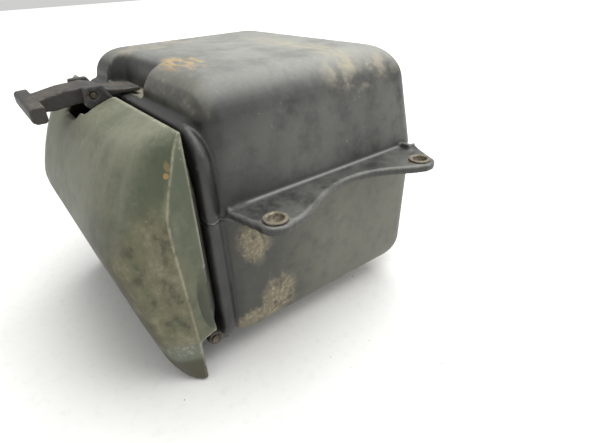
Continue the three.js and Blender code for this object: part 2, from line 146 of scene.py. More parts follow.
def prism(points, axis, h0, h1):
    place = {
        "x": lambda a, b, h: (h, a, b),
        "y": lambda a, b, h: (a, h, b),
        "z": lambda a, b, h: (a, b, h),
    }[axis]
    return loft([[place(a, b, h) for a, b in points] for h in (h0, h1)], "prism")


def block(x0, x1, y0, y1, z0, z1):
    return prism([(x0, y0), (x1, y0), (x1, y1), (x0, y1)], "z", z0, z1)


def basis(d):
    d = Vector(d).normalized()
    u = d.orthogonal().normalized()
    return u, d.cross(u)


def rod(a, b, r, r2=None, seg=32):
    r2 = r if r2 is None else r2
    a, b = Vector(a), Vector(b)
    u, v = basis(b - a)
    ring = lambda c, q: [
        tuple(c + (u * math.cos(t) + v * math.sin(t)) * q)
        for t in [2 * math.pi * i / seg for i in range(seg)]
    ]
    return loft([ring(a, r), ring(b, r2)], "rod")


def soften(profile, radius, seg=3, closed=True):
    """Rounds the corners of a closed (radius, height) profile, leaving points on the axis sharp."""
    pts = [Vector(p) for p in profile]
    if closed and (pts[0] - pts[-1]).length < 1e-6:
        pts = pts[:-1]
    out = []
    n = len(pts)
    for i, p in enumerate(pts):
        a, b = pts[i - 1] - p, pts[(i + 1) % n] - p
        if p[0] < 1e-6 or a.length < 1e-6 or b.length < 1e-6:
            out.append(tuple(p))
            continue
        r = min(radius, 0.42 * a.length, 0.42 * b.length)
        s, e = p + a.normalized() * r, p + b.normalized() * r
        for k in range(seg + 1):
            t = k / seg
            out.append(tuple(s * (1 - t) ** 2 + p * 2 * t * (1 - t) + e * t * t))
    return out


def turned(profile, c, d=(0, 1, 0), seg=64, soft=0.5):
    pts = soften(profile, soft) if soft else list(profile[:-1])
    c, d = Vector(c), Vector(d).normalized()
    u, v = basis(d)
    n = len(pts)
    verts, faces = [], []
    for i in range(seg):
        t = 2 * math.pi * i / seg
        w = u * math.cos(t) + v * math.sin(t)
        verts += [tuple(c + d * h + w * r) for r, h in pts]
    for i in range(seg):
        j = (i + 1) % seg
        faces += [
            (i * n + k, i * n + (k + 1) % n, j * n + (k + 1) % n, j * n + k)
            for k in range(n)
        ]
    return raw("turned", verts, faces)


def pipe(r0, r1, h0, h1, c, d=(0, 1, 0), seg=64, soft=0.4):
    return turned([(r0, h0), (r1, h0), (r1, h1), (r0, h1), (r0, h0)], c, d, seg, soft)


def wire(points, r, seg=10):
    pts = [Vector(p) for p in points]
    rings = []
    up = None
    for i, p in enumerate(pts):
        d = (pts[min(i + 1, len(pts) - 1)] - pts[max(i - 1, 0)]).normalized()
        up = basis(d)[0] if up is None else (up - d * up.dot(d)).normalized()
        side = d.cross(up)
        rings.append(
            [
                tuple(p + (up * math.cos(t) + side * math.sin(t)) * r)
                for t in [2 * math.pi * k / seg for k in range(seg)]
            ]
        )
    return loft(rings, "wire")


def rrect(x0, x1, y0, y1, r, seg=10):
    pts = []
    for cx, cy, a0 in (
        (x1 - r, y0 + r, -90),
        (x1 - r, y1 - r, 0),
        (x0 + r, y1 - r, 90),
        (x0 + r, y0 + r, 180),
    ):
        for i in range(seg + 1):
            a = math.radians(a0 + 90 * i / seg)
            pts.append((cx + r * math.cos(a), cy + r * math.sin(a)))
    return pts


def mould(o, voxel, rounds, name, factor=0.5):
    """Even skin over the whole body, with its edges rounded as a moulding's are."""
    m = o.modifiers.new("skin", "REMESH")
    m.mode = "VOXEL"
    m.voxel_size = voxel * 0.001
    m.use_smooth_shade = True
    s = o.modifiers.new("ease", "SMOOTH")
    s.factor = factor
    s.iterations = rounds
    settle(o)
    o.name = name
    o.data.name = name
    shade(o)
    relief(o, 6)
    return o


def relief(o, spread=3):
    """Stores how far each point stands out from (ridge) or lies in from (hollow) its neighbourhood, in 0..1 steps."""
    me = o.data
    nv = len(me.vertices)
    co = np.empty(nv * 3)
    me.vertices.foreach_get("co", co)
    co = co.reshape(-1, 3) * 1000
    ed = np.empty(len(me.edges) * 2, np.int64)
    me.edges.foreach_get("vertices", ed)
    a, b = ed.reshape(-1, 2).T
    count = np.maximum(np.bincount(a, minlength=nv) + np.bincount(b, minlength=nv), 1)

    def mean(v):
        return np.stack([
            (np.bincount(a, v[:, k][b], nv) + np.bincount(b, v[:, k][a], nv)) / count for k in range(v.shape[1])
        ], 1)

    far = co.copy()
    for _ in range(spread):
        far = 0.35 * far + 0.65 * mean(far)
    nrm = np.empty(nv * 3)
    me.vertices.foreach_get("normal", nrm)
    stand = ((co - far) * nrm.reshape(-1, 3)).sum(1)
    stand = 0.5 * stand + 0.5 * mean(stand[:, None])[:, 0]
    for name, v in (("ridge", np.clip(stand / 0.30, 0, 1)), ("hollow", np.clip(-stand / 0.30, 0, 1))):
        at = me.attributes.get(name) or me.attributes.new(name, "FLOAT", "POINT")
        at.data.foreach_set("value", v.astype(np.float32))
    return co


def store(o, name, values):
    at = o.data.attributes.get(name) or o.data.attributes.new(name, "FLOAT", "POINT")
    at.data.foreach_set("value", np.asarray(values, np.float32))


def shade(o, angle=None):
    o.data.polygons.foreach_set("use_smooth", [True] * len(o.data.polygons))
    if angle:
        o.data.set_sharp_from_angle(angle=math.radians(angle))
    o.data.update()
    return o


def bevelled(o, width, seg=2, angle=35):
    m = o.modifiers.new("edge", "BEVEL")
    m.width = width * 0.001
    m.segments = seg
    m.limit_method = "ANGLE"
    m.angle_limit = math.radians(angle)
    m.harden_normals = False
    settle(o)
    return shade(o, 40)


# ------------------------------------------------------------------ materials
class V:
    """A float socket with arithmetic."""

    def __init__(self, tree, socket):
        self.t, self.s = tree, socket

    def _m(self, op, *args, clamp=False):
        n = self.t.nodes.new("ShaderNodeMath")
        n.operation = op
        n.use_clamp = clamp
        for i, a in enumerate((self,) + args):
            if isinstance(a, V):
                self.t.links.new(a.s, n.inputs[i])
            else:
                n.inputs[i].default_value = a
        return V(self.t, n.outputs[0])

    def __add__(self, o):
        return self._m("ADD", o)

    def __sub__(self, o):
        return self._m("SUBTRACT", o)

    def __mul__(self, o):
        return self._m("MULTIPLY", o)

    def __truediv__(self, o):
        return self._m("DIVIDE", o)

    def rsub(self, k):
        return (self * -1.0) + k

    def abs(self):
        return self._m("ABSOLUTE")

    def max(self, o):
        return self._m("MAXIMUM", o)

    def min(self, o):
        return self._m("MINIMUM", o)

    def power(self, k):
        return self.max(0.0)._m("POWER", k)

    def clip(self):
        return self._m("ADD", 0.0, clamp=True)

    def step(self, a, b, lo=0.0, hi=1.0):
        """Smooth ramp from lo at a to hi at b."""
        n = self.t.nodes.new("ShaderNodeMapRange")
        n.interpolation_type = "SMOOTHSTEP"
        self.t.links.new(self.s, n.inputs["Value"])
        if a > b:
            a, b, lo, hi = b, a, hi, lo
        n.inputs["From Min"].default_value = a
        n.inputs["From Max"].default_value = b
        n.inputs["To Min"].default_value = lo
        n.inputs["To Max"].default_value = hi
        return V(self.t, n.outputs["Result"])

    def band(self, a, b, soft):
        return self.step(a - soft, a + soft) * self.step(b + soft, b - soft)


class Paint:
    """A Principled material built from masks on the drawing coordinates, in millimetres."""

    def __init__(self, name):
        self.m = bpy.data.materials.new(name)
        self.m.use_nodes = True
        self.t = self.m.node_tree
        self.bsdf = next(n for n in self.t.nodes if n.type == "BSDF_PRINCIPLED")
        tc = self.t.nodes.new("ShaderNodeTexCoord")
        mp = self.t.nodes.new("ShaderNodeMapping")
        mp.inputs["Scale"].default_value = (1000, 1000, 1000)
        mp.inputs["Location"].default_value = tuple(-v for v in SHIFT)
        self.t.links.new(tc.outputs["Object"], mp.inputs["Vector"])
        self.vec = mp.outputs["Vector"]
        sep = self.t.nodes.new("ShaderNodeSeparateXYZ")
        self.t.links.new(self.vec, sep.inputs[0])
        self.x, self.y, self.z = (V(self.t, sep.outputs[i]) for i in range(3))
        self.height = None
        g = self.t.nodes.new("ShaderNodeNewGeometry")
        sn = self.t.nodes.new("ShaderNodeSeparateXYZ")
        vt = self.t.nodes.new("ShaderNodeVectorTransform")
        vt.vector_type = "NORMAL"
        vt.convert_from = "WORLD"
        vt.convert_to = "OBJECT"
        self.t.links.new(g.outputs["Normal"], vt.inputs[0])
        self.t.links.new(vt.outputs[0], sn.inputs[0])
        self.nx, self.ny, self.nz = (V(self.t, sn.outputs[i]) for i in range(3))
        self.point = V(self.t, g.outputs["Pointiness"])
        self.ridge, self.hollow = self.stored("ridge"), self.stored("hollow")

    def stored(self, name):
        n = self.t.nodes.new("ShaderNodeAttribute")
        n.attribute_type = "GEOMETRY"
        n.attribute_name = name
        return V(self.t, n.outputs["Fac"])

    def stretch(self, scale, at=(0, 0, 0), turn=(0, 0, 0)):
        mp = self.t.nodes.new("ShaderNodeMapping")
        mp.inputs["Scale"].default_value = scale
        mp.inputs["Location"].default_value = at
        mp.inputs["Rotation"].default_value = [math.radians(a) for a in turn]
        self.t.links.new(self.vec, mp.inputs["Vector"])
        return mp.outputs["Vector"]

    def noise(self, size, detail=3.0, rough=0.55, at=(0, 0, 0), scale=(1, 1, 1), turn=(0, 0, 0), warp=0.0):
        """Noise whose blotches are about size millimetres across; 0..1."""
        n = self.t.nodes.new("ShaderNodeTexNoise")
        n.inputs["Scale"].default_value = 1.0
        n.inputs["Detail"].default_value = detail
        n.inputs["Roughness"].default_value = rough
        n.inputs["Distortion"].default_value = warp
        k = 1.0 / size
        v = self.stretch([k * s for s in scale], at, turn)
        self.t.links.new(v, n.inputs["Vector"])
        return V(self.t, n.outputs[0])

    def cells(self, size, at=(0, 0, 0), scale=(1, 1, 1), feature="F1"):
        n = self.t.nodes.new("ShaderNodeTexVoronoi")
        n.feature = feature
        n.inputs["Scale"].default_value = 1.0
        k = 1.0 / size
        self.t.links.new(self.stretch([k * s for s in scale], at), n.inputs["Vector"])
        return V(self.t, n.outputs["Distance"])

    def blob(self, c, r):
        """Squared distance from c in units of the radii r: 0 at c, 1 on the ellipsoid; None leaves an axis out."""
        total = None
        for v, m, q in zip((self.x, self.y, self.z), c, r):
            if q is None:
                continue
            d = (v - float(m)) / float(q)
            d = d * d
            total = d if total is None else total + d
        return total

    def colour(self, rgb):
        n = self.t.nodes.new("ShaderNodeRGB")
        n.outputs[0].default_value = (*rgb, 1)
        return n.outputs[0]

    def mix(self, a, b, w):
        n = self.t.nodes.new("ShaderNodeMix")
        n.data_type = "RGBA"
        a = self.colour(a) if isinstance(a, (tuple, list)) else a
        b = self.colour(b) if isinstance(b, (tuple, list)) else b
        self.t.links.new(a, n.inputs[6])
        self.t.links.new(b, n.inputs[7])
        if isinstance(w, V):
            self.t.links.new(w.clip().s, n.inputs[0])
        else:
            n.inputs[0].default_value = w
        return n.outputs[2]

    def done(self, colour, rough, bump=None, depth=0.0, metallic=0.0, specular=0.5):
        self.t.links.new(colour, self.bsdf.inputs["Base Color"])
        if isinstance(rough, V):
            self.t.links.new(rough.s, self.bsdf.inputs["Roughness"])
        else:
            self.bsdf.inputs["Roughness"].default_value = rough
        if isinstance(metallic, V):
            self.t.links.new(metallic.s, self.bsdf.inputs["Metallic"])
        else:
            self.bsdf.inputs["Metallic"].default_value = metallic
        self.bsdf.inputs["Specular IOR Level"].default_value = specular
        if bump is not None:
            b = self.t.nodes.new("ShaderNodeBump")
            b.inputs["Strength"].default_value = 1.0
            b.inputs["Distance"].default_value = depth * 0.001
            self.t.links.new(bump.s, b.inputs["Height"])
            self.t.links.new(b.outputs[0], self.bsdf.inputs["Normal"])
        return self.m


def housing_material():
    p = Paint("housing_black")
    x, y, z = p.x, p.y, p.z
    big = p.noise(45, 4, 0.6)
    mid = p.noise(14, 5, 0.65, at=(3, 1, 7))
    fine = p.noise(3.2, 4, 0.7, at=(1, 9, 2))
    grain = p.noise(0.9, 2, 0.6)
    ax = x.abs()
    up = p.nz.step(0.35, 0.97)
    base = p.mix((0.013, 0.013, 0.0125), (0.023, 0.023, 0.0215), mid.step(0.3, 0.7))
    # a film of dust: pale on what faces up, thin and blotchy on the sides, none on the bead round the mouth
    bead = y.step(5.0, 2.0)
    film = (big * 0.55 + mid * 0.45).step(0.36, 0.62)
    side = bead.rsub(1.0)
    flange = ax.step(100.2, 101.6)
    body = flange.rsub(1.0)
    near = y.step(22, 60, 0.35, 1.0)
    col = p.mix(base, (0.125, 0.127, 0.114), film * side * near * 0.34)
    cloud = p.blob((97, 60, 30), (None, 52, 24)).step(1.7, 0.2) * mid.step(0.25, 0.6, 0.4, 1.0)
    col = p.mix(col, (0.150, 0.151, 0.138), cloud * side * 0.30)
    far = y.step(85, 150)
    col = p.mix(col, (0.165, 0.167, 0.148), far * side * film * 0.36)
    dust = up * body * (big * 0.4 + mid * 0.35 + fine * 0.25).step(0.34, 0.60, 0.60, 1.0) * side
    col = p.mix(col, (0.345, 0.350, 0.325), dust * y.step(0, 90, 0.54, 0.76))
    # olive film low on the sides
    low = z.step(2, -8) * side
    col = p.mix(col, (0.138, 0.138, 0.108), low * mid.step(0.2, 0.65, 0.45, 1.0) * y.step(22, 90, 0.22, 0.90))
    # pale scuffs and specks
    speck = p.noise(2.2, 2, 0.5, at=(11, 4, 8)).step(0.70, 0.76) * mid.step(0.5, 0.62)
    col = p.mix(col, (0.30, 0.30, 0.27), speck * 0.55)
    scuff = p.noise(4.5, 4, 0.75, at=(1, 2, 3), scale=(1, 1, 0.45)).step(0.63, 0.75) * big.step(0.42, 0.6)
    col = p.mix(col, (0.22, 0.22, 0.20), scuff * side * 0.45)
    scratch = p.noise(7, 3, 0.7, at=(2, 5, 1), scale=(0.16, 2.6, 1.4), turn=(20, 10, 35)).step(0.69, 0.73)
    col = p.mix(col, (0.26, 0.26, 0.24), scratch * 0.35)
    # ochre and tan dirt: on the bulge beside the hollow, and along a band near the back of the top
    edge = p.noise(12, 5, 0.66, at=(7, 7, 7), warp=0.12)
    crust = p.noise(3.0, 4, 0.7, at=(4, 2, 6))
    wisp = p.noise(8, 5, 0.66, at=(9, 1, 2), scale=(0.45, 1.7, 1.0), turn=(0, 0, -18), warp=0.2)
    top_a = p.blob((34, 22, 71), (24, 12, 12)).step(1.7, 0.3) * wisp.step(0.47, 0.56)
    ridge_y = (y - 103.0).abs().step(15, 3) * x.step(-40, 10) * z.step(56, 64)
    band = ridge_y * (wisp * 0.5 + edge * 0.5).step(0.42, 0.60)
    corner = p.blob((88, 112, 61), (14, 30, 12)).step(1.6, 0.3) * edge.step(0.44, 0.66) * 0.7
    col = p.mix(col, (0.42, 0.375, 0.270), band.max(corner) * 0.62)
    col = p.mix(col, (0.42, 0.30, 0.140), top_a * 0.75)
    rim_dust = p.blob((-60, 40, 70), (26, 30, 10)).step(1.6, 0.4) * edge.step(0.44, 0.6)
    col = p.mix(col, (0.36, 0.32, 0.235), rim_dust * 0.5)
    # dust on the rounded front of the bulge
    front = p.ny.step(-0.12, -0.75) * z.step(50, 58) * x.step(14, 22) * side.max(0.6)
    col = p.mix(col, (0.165, 0.162, 0.125), front * edge.step(0.30, 0.62, 0.25, 1.0) * 0.75)
    col = p.mix(col, (0.30, 0.285, 0.215), front * crust.step(0.52, 0.66) * edge.step(0.45, 0.6) * 0.6)
    # mud patches low on the sides, smeared downwards
    run = p.noise(8.5, 5, 0.66, at=(0, 3, 0), scale=(1, 1.2, 0.5), turn=(24, 0, 0), warp=0.12)
    wall = p.nx.abs().step(0.25, 0.7) * bead.rsub(1.0)
    m1 = p.blob((97, 20, -20), (None, 12, 17)).step(1.6, 0.1)
    m2 = p.blob((97, 34, -74), (None, 15, 22)).step(1.6, 0.15)
    m3 = p.blob((97, 16, -84), (None, 22, 13)).step(1.8, 0.3)
    mask = m1.max(m2).max(m3) * x.step(0, 20) + p.blob((-97, 70, -52), (None, 52, 30)).step(1.4, 0.4) * x.step(0, -20) * 0.8
    smear = (run * 0.55 + edge * 0.45)
    mud = mask * (smear + mask * 0.12 - 0.06).step(0.44, 0.56) * wall
    col = p.mix(col, (0.205, 0.180, 0.125), mud * 0.85)
    col = p.mix(col, (0.345, 0.305, 0.215), mud * crust.step(0.46, 0.64) * 0.7)
    veins = p.cells(7, at=(2, 4, 1), feature="DISTANCE_TO_EDGE").step(0.07, 0.02) * mid.step(0.42, 0.6)
    col = p.mix(col, (0.075, 0.060, 0.043), mud * veins * 0.55)
    # dirt along the bottom edge
    hem = z.step(-82, -96) * edge.step(0.32, 0.6) * side
    col = p.mix(col, (0.27, 0.245, 0.18), hem * 0.6)
    # painted shade darkens the hollows, proud edges are rubbed pale
    col = p.mix(col, (0.010, 0.010, 0.010), p.hollow.step(0.15, 0.9) * z.step(45, 35, 0.4, 1.0) * 0.75)
    rub = p.ridge.step(0.55, 1.0) * mid.step(0.25, 0.65, 0.35, 1.0)
    col = p.mix(col, (0.105, 0.106, 0.098), flange * up * (mid * 0.5 + fine * 0.5).step(0.36, 0.62, 0.25, 1.0) * 0.6)
    col = p.mix(col, (0.30, 0.30, 0.275), rub * flange.step(0, 1, 0.20, 0.30) * bead.step(0, 1, 1.0, 0.3))
    # painted shade on the flange's edge and underside, along the parting
    col = p.mix(col, (0.020, 0.020, 0.019), flange * p.nz.step(0.45, 0.05) * z.step(-0.5, 0.2) * 0.8)
    # settled dust where the flange meets the wall
    root = (ax - 99.3).abs().step(1.8, 0.3) * z.band(4.6, 6.2, 0.8) * y.step(14, 20)
    col = p.mix(col, (0.46, 0.46, 0.43), root * fine.step(0.2, 0.5, 0.5, 1.0) * 0.8)
    knuckle = p.blob((85, -12, -87), (9, 8, 8)).step(1.5, 0.6) + p.blob((-85, -12, -87), (9, 8, 8)).step(1.5, 0.6)
    col = p.mix(col, (0.120, 0.104, 0.080), knuckle * fine.step(0.25, 0.6, 0.45, 1.0) * 0.8)
    # parting line of the bead
    seam = z.abs().step(0.75, 0.35) * y.step(4.0, 1.5) * z.step(-3, -1)
    col = p.mix(col, (0.30, 0.30, 0.28), seam * 0.8)
    # floor and front lip of the hollow: pale tan dust, brightened as painted light
    floor = z.step(52.5, 50.0) * z.step(48.6, 49.2) * y.band(-0.5, 13, 1.5) * x.step(20, 15) * x.step(-56, -50) * p.nz.step(0.5, 0.9)
    col = p.mix(col, (0.40, 0.375, 0.285), floor * mid.step(0.25, 0.6, 0.3, 1.0) * 0.85)
    # painted shade on the wall at the back of the hollow
    hollow_back_shade = y.band(2, 14, 2) * z.step(48, 53) * z.step(69, 64) * x.step(18.5, 16.5) * x.step(-56, -52) * p.ny.step(-0.2, -0.8)
    col = p.mix(col, (0.055, 0.055, 0.055), hollow_back_shade * mid.step(0.3, 0.6, 0.5, 1.0) * z.step(54, 66) * 0.8)
    rough = mid.step(0.3, 0.7, 0.36, 0.46) + dust * 0.22 + film * side * 0.10 + mud * 0.35 + top_a * 0.2 + band * 0.2 + low * 0.1
    bump = grain * 0.22 + fine * 0.30 + mid * 0.5 + mud * 1.8 + top_a * 0.9 + band * 0.6
    return p.done(col, rough.clip(), bump, 0.15, specular=0.5)


def door_material():
    p = Paint("door_green")
    x, y, z = p.x, p.y, p.z
    big = p.noise(38, 4, 0.6, at=(5, 5, 5))
    mid = p.noise(12, 5, 0.65)
    fine = p.noise(3.0, 4, 0.7, at=(8, 3, 1))
    grain = p.noise(0.9, 2, 0.6)
    streak = p.noise(8, 4, 0.65, scale=(1.5, 0.5, 0.16), turn=(0, 9, 0), warp=0.4)
    crease, rear, facet, inside = p.stored("crease"), p.stored("rear_side"), p.stored("facet"), p.stored("inside")
    face = (facet.rsub(1.0) * rear.rsub(1.0)).clip()
    base = p.mix((0.052, 0.063, 0.034), (0.076, 0.086, 0.049), mid.step(0.3, 0.7))
    # dusty bloom over the upper face
    bloom = (big * 0.45 + streak * 0.55).step(0.36, 0.62, 0.25, 1.0) * z.step(-30, 10, 0.15, 1.0)
    col = p.mix(base, (0.172, 0.172, 0.118), face * bloom * 0.58)
    # painted shade across the face where it curves away
    painted_face_shade = p.blob((68, -50, -12), (22, None, 24)).step(1.7, 0.1)
    col = p.mix(col, (0.050, 0.052, 0.034), face * painted_face_shade * mid.step(0.25, 0.6, 0.5, 1.0) * 0.8)
    stain = p.blob((-5, -50, 40), (22, None, 16)).step(1.7, 0.2) * (streak * 0.6 + mid * 0.4).step(0.45, 0.6)
    col = p.mix(col, (0.068, 0.062, 0.044), face * stain * 0.55)
    drag0 = p.noise(8, 5, 0.62, at=(8, 3, 2), scale=(1.2, 0.8, 0.5), warp=0.1)
    # side facet: clean hunter green above, brown crust below
    col = p.mix(col, (0.052, 0.068, 0.036), facet * z.step(-12, 16) * 0.6)
    col = p.mix(col, (0.064, 0.078, 0.046), rear * 0.75)
    col = p.mix(col, (0.150, 0.155, 0.110), rear * (mid * 0.5 + drag0 * 0.5).step(0.46, 0.64) * 0.4)
    scoop = rear * p.blob((98, -12.7, -46), (None, 8.2, 24)).step(1.10, 0.90) * y.step(-10, -20, 0.3, 1.0) * z.step(-20, -44)
    edge = p.noise(13, 5, 0.62, at=(1, 2, 3), warp=0.1)
    crust = p.noise(2.6, 4, 0.7, at=(4, 8, 2))
    drag = p.noise(9, 5, 0.62, at=(3, 3, 8), scale=(1.2, 0.9, 0.5), turn=(25, 0, 0), warp=0.15)
    low = (facet + p.blob((86, -50, -40), (14, None, 40)).step(1.5, 0.3) * face * 0.8).clip() * z.step(26, 2) * z.step(-92, -74)
    col = p.mix(col, (0.128, 0.118, 0.070), low * (edge * 0.55 + drag * 0.45).step(0.34, 0.52) * 0.86)
    col = p.mix(col, (0.255, 0.235, 0.168), low * (edge * 0.4 + drag * 0.6).step(0.50, 0.64) * crust.step(0.34, 0.62, 0.3, 1.0) * 0.55)
    col = p.mix(col, (0.048, 0.040, 0.027), low * drag.step(0.47, 0.36) * 0.65)
    col = p.mix(col, (0.13, 0.118, 0.075), rear * z.step(6, -20) * edge.step(0.42, 0.62) * 0.45)
    # lower face: olive and brown, darkest along the fold
    under = face * z.step(-6, -18)
    col = p.mix(col, (0.066, 0.062, 0.036), under * (big * 0.5 + edge * 0.5).step(0.32, 0.56, 0.45, 1.0) * 0.85)
    col = p.mix(col, (0.215, 0.200, 0.130), under * drag.step(0.55, 0.66) * 0.5)
    tip = z.step(-70, -80) * facet.max(face * 0.6)
    col = p.mix(col, (0.145, 0.162, 0.125), tip * z.step(-92, -86) * mid.step(0.25, 0.55, 0.5, 1.0) * 0.85)
    col = p.mix(col, (0.33, 0.34, 0.29), tip * z.band(-84, -73, 2) * fine.step(0.50, 0.62) * 0.6)
    col = p.mix(col, (0.060, 0.055, 0.032), z.step(-86, -92) * edge.step(0.22, 0.48, 0.55, 1.0) * 0.85)
    # dust on the top shoulder
    top = p.nz.step(0.15, 0.6) * (fine * 0.4 + big * 0.6).step(0.3, 0.6)
    col = p.mix(col, (0.255, 0.258, 0.195), top * 0.45)
    # chalky worn edges, strongest along the crease
    line = crease.step(0.66, 0.98) * z.step(-60, 10, 0.6, 1.0)
    worn = (line * 0.9 + p.ridge.step(0.35, 1.0) * facet.rsub(1.0).max(0.15) * 0.8).clip()
    col = p.mix(col, (0.385, 0.365, 0.265), worn * (fine * 0.5 + drag * 0.5).step(0.36, 0.58, 0.22, 1.0) * 0.62)
    near = crease.step(0.0, 0.6) * facet * 0.4
    col = p.mix(col, (0.22, 0.195, 0.135), near * drag.step(0.44, 0.60) * z.step(40, 20) * z.step(-30, -5) * 0.8)
    # painted shade in the hollows
    col = p.mix(col, (0.020, 0.022, 0.014), p.hollow.step(0.2, 0.9) * 0.6)
    chip = (p.blob((97, -23.6, 33), (1.7, 1.7, 1.9)) + crust * 1.6).step(1.9, 1.4) * 0.6
    chip = chip.max((p.blob((97, -22.2, 38), (2.0, 1.8, 4.0)) + crust * 2.0).step(1.9, 1.4) * 0.3)
    col = p.mix(col, (0.45, 0.27, 0.085), chip * 0.85)
    speck = p.noise(2.0, 2, 0.5, at=(1, 4, 8)).step(0.69, 0.75) * mid.step(0.45, 0.6)
    col = p.mix(col, (0.34, 0.335, 0.27), speck * 0.5)
    scratch = p.noise(8, 3, 0.7, at=(2, 5, 1), scale=(2.2, 0.3, 0.16), turn=(8, 14, 0)).step(0.67, 0.71)
    col = p.mix(col, (0.30, 0.30, 0.245), scratch * 0.45)
    # painted shade in the scoop low on each return
    col = p.mix(col, (0.016, 0.020, 0.010), scoop * 0.80)
    col = p.mix(col, (0.062, 0.074, 0.046), inside * 0.6)
    rough = mid.step(0.3, 0.7, 0.40, 0.52) + low * 0.2 + top * 0.1 + under * 0.15 + bloom * 0.06
    bump = grain * 0.22 + fine * 0.35 + mid * 0.5 + low * edge * 1.2 - chip * 1.5
    return p.done(col, rough.clip(), bump, 0.16, specular=0.45)


def plain_plastic(name, dark, light, dusty, rough, dust_amount=0.5, spec=0.4):
    p = Paint(name)
    big = p.noise(26, 4, 0.6, at=(2, 2, 2))
    mid = p.noise(8, 5, 0.65)
    fine = p.noise(2.4, 4, 0.7, at=(9, 1, 3))
    col = p.mix(dark, light, mid.step(0.3, 0.7))
    up = p.nz.step(0.2, 0.9)
    film = (big * 0.5 + fine * 0.5).step(0.42, 0.64)
    col = p.mix(col, dusty, (up * 0.6 + 0.25) * film * dust_amount)
    ridge = p.ridge.step(0.25, 0.9)
    col = p.mix(col, dusty, ridge * fine.step(0.3, 0.65) * 0.4)
    hollow = p.hollow.step(0.2, 0.9)
    col = p.mix(col, (0.2, 0.165, 0.11), hollow * mid.step(0.4, 0.65) * dust_amount * 0.6)
    r = mid.step(0.3, 0.7, rough - 0.06, rough + 0.08) + film * 0.12
    return p.done(col, r.clip(), fine * 0.5 + mid * 0.5 + p.noise(0.8, 2) * 0.2, 0.12, specular=spec)


def metal_material(name, clean, dull, rust, rust_amount, rough, axis_lines=False):
    p = Paint(name)
    mid = p.noise(3.5, 5, 0.65)
    fine = p.noise(0.9, 4, 0.7, at=(9, 1, 3))
    spots = p.noise(2.6, 5, 0.7, at=(5, 2, 1))
    col = p.mix(clean, dull, mid.step(0.3, 0.7))
    r = spots.step(0.62 - 0.25 * rust_amount, 0.72 - 0.2 * rust_amount)
    col = p.mix(col, rust, r * 0.85)
    film = p.noise(6, 4, 0.6, at=(2, 7, 1)).step(0.4, 0.7)
    col = p.mix(col, (0.26, 0.225, 0.165), film * 0.45)
    rr = mid.step(0.3, 0.7, rough - 0.08, rough + 0.12) + r * 0.35 + film * 0.18
    metal = (r * 0.85 + film * 0.5).rsub(0.92).clip()
    return p.done(col, rr.clip(), fine * 0.4 + mid * 0.4 + r * 0.6, 0.08, metallic=metal, specular=0.5)


def rubber_material(name, dark, light, dusty, amount):
    p = Paint(name)
    mid = p.noise(6, 5, 0.65)
    fine = p.noise(1.4, 4, 0.7, at=(9, 1, 3))
    bloom = p.noise(16, 4, 0.6, at=(1, 4, 7)).step(0.35, 0.7)
    col = p.mix(dark, light, mid.step(0.3, 0.7))
    col = p.mix(col, dusty, (bloom * 0.6 + p.nz.step(0.3, 0.9) * 0.4) * fine.step(0.3, 0.7, 0.4, 1.0) * amount)
    ridge = p.ridge.step(0.25, 0.9)
    col = p.mix(col, dusty, ridge * 0.3)
    r = mid.step(0.3, 0.7, 0.62, 0.76) + bloom * 0.1
    return p.done(col, r.clip(), fine * 0.5 + mid * 0.6, 0.12, specular=0.35)


def paper_material():
    p = Paint("filter_paper")
    fibre = p.noise(1.4, 5, 0.75, scale=(1, 0.35, 1))
    stain = p.noise(18, 5, 0.65, at=(2, 3, 4))
    col = p.mix((0.50, 0.40, 0.235), (0.60, 0.50, 0.32), fibre.step(0.3, 0.7))
    col = p.mix(col, (0.25, 0.19, 0.115), stain.step(0.45, 0.75) * 0.6)
    ridge = p.ridge.step(0.2, 0.8)
    col = p.mix(col, (0.33, 0.25, 0.15), ridge * 0.5)
    return p.done(col, fibre.step(0.3, 0.7, 0.82, 0.95), fibre, 0.14, specular=0.2)


def foam_material():
    p = Paint("filter_foam")
    pores = p.cells(1.9)
    deep = pores.step(0.25, 0.55)
    oil = p.noise(20, 5, 0.65, at=(2, 3, 4)).step(0.35, 0.7)
    dirt = p.noise(9, 5, 0.7, at=(6, 3, 4)).step(0.48, 0.72)
    # the pores are darker at their centres: painted shade inside them
    col = p.mix((0.035, 0.040, 0.052), (0.095, 0.108, 0.135), deep)
    col = p.mix(col, (0.055, 0.045, 0.035), oil * 0.5)
    col = p.mix(col, (0.19, 0.155, 0.105), dirt * 0.5)
    return p.done(col, oil.step(0, 1, 0.93, 0.72), pores * 1.0, 0.9, specular=0.25)


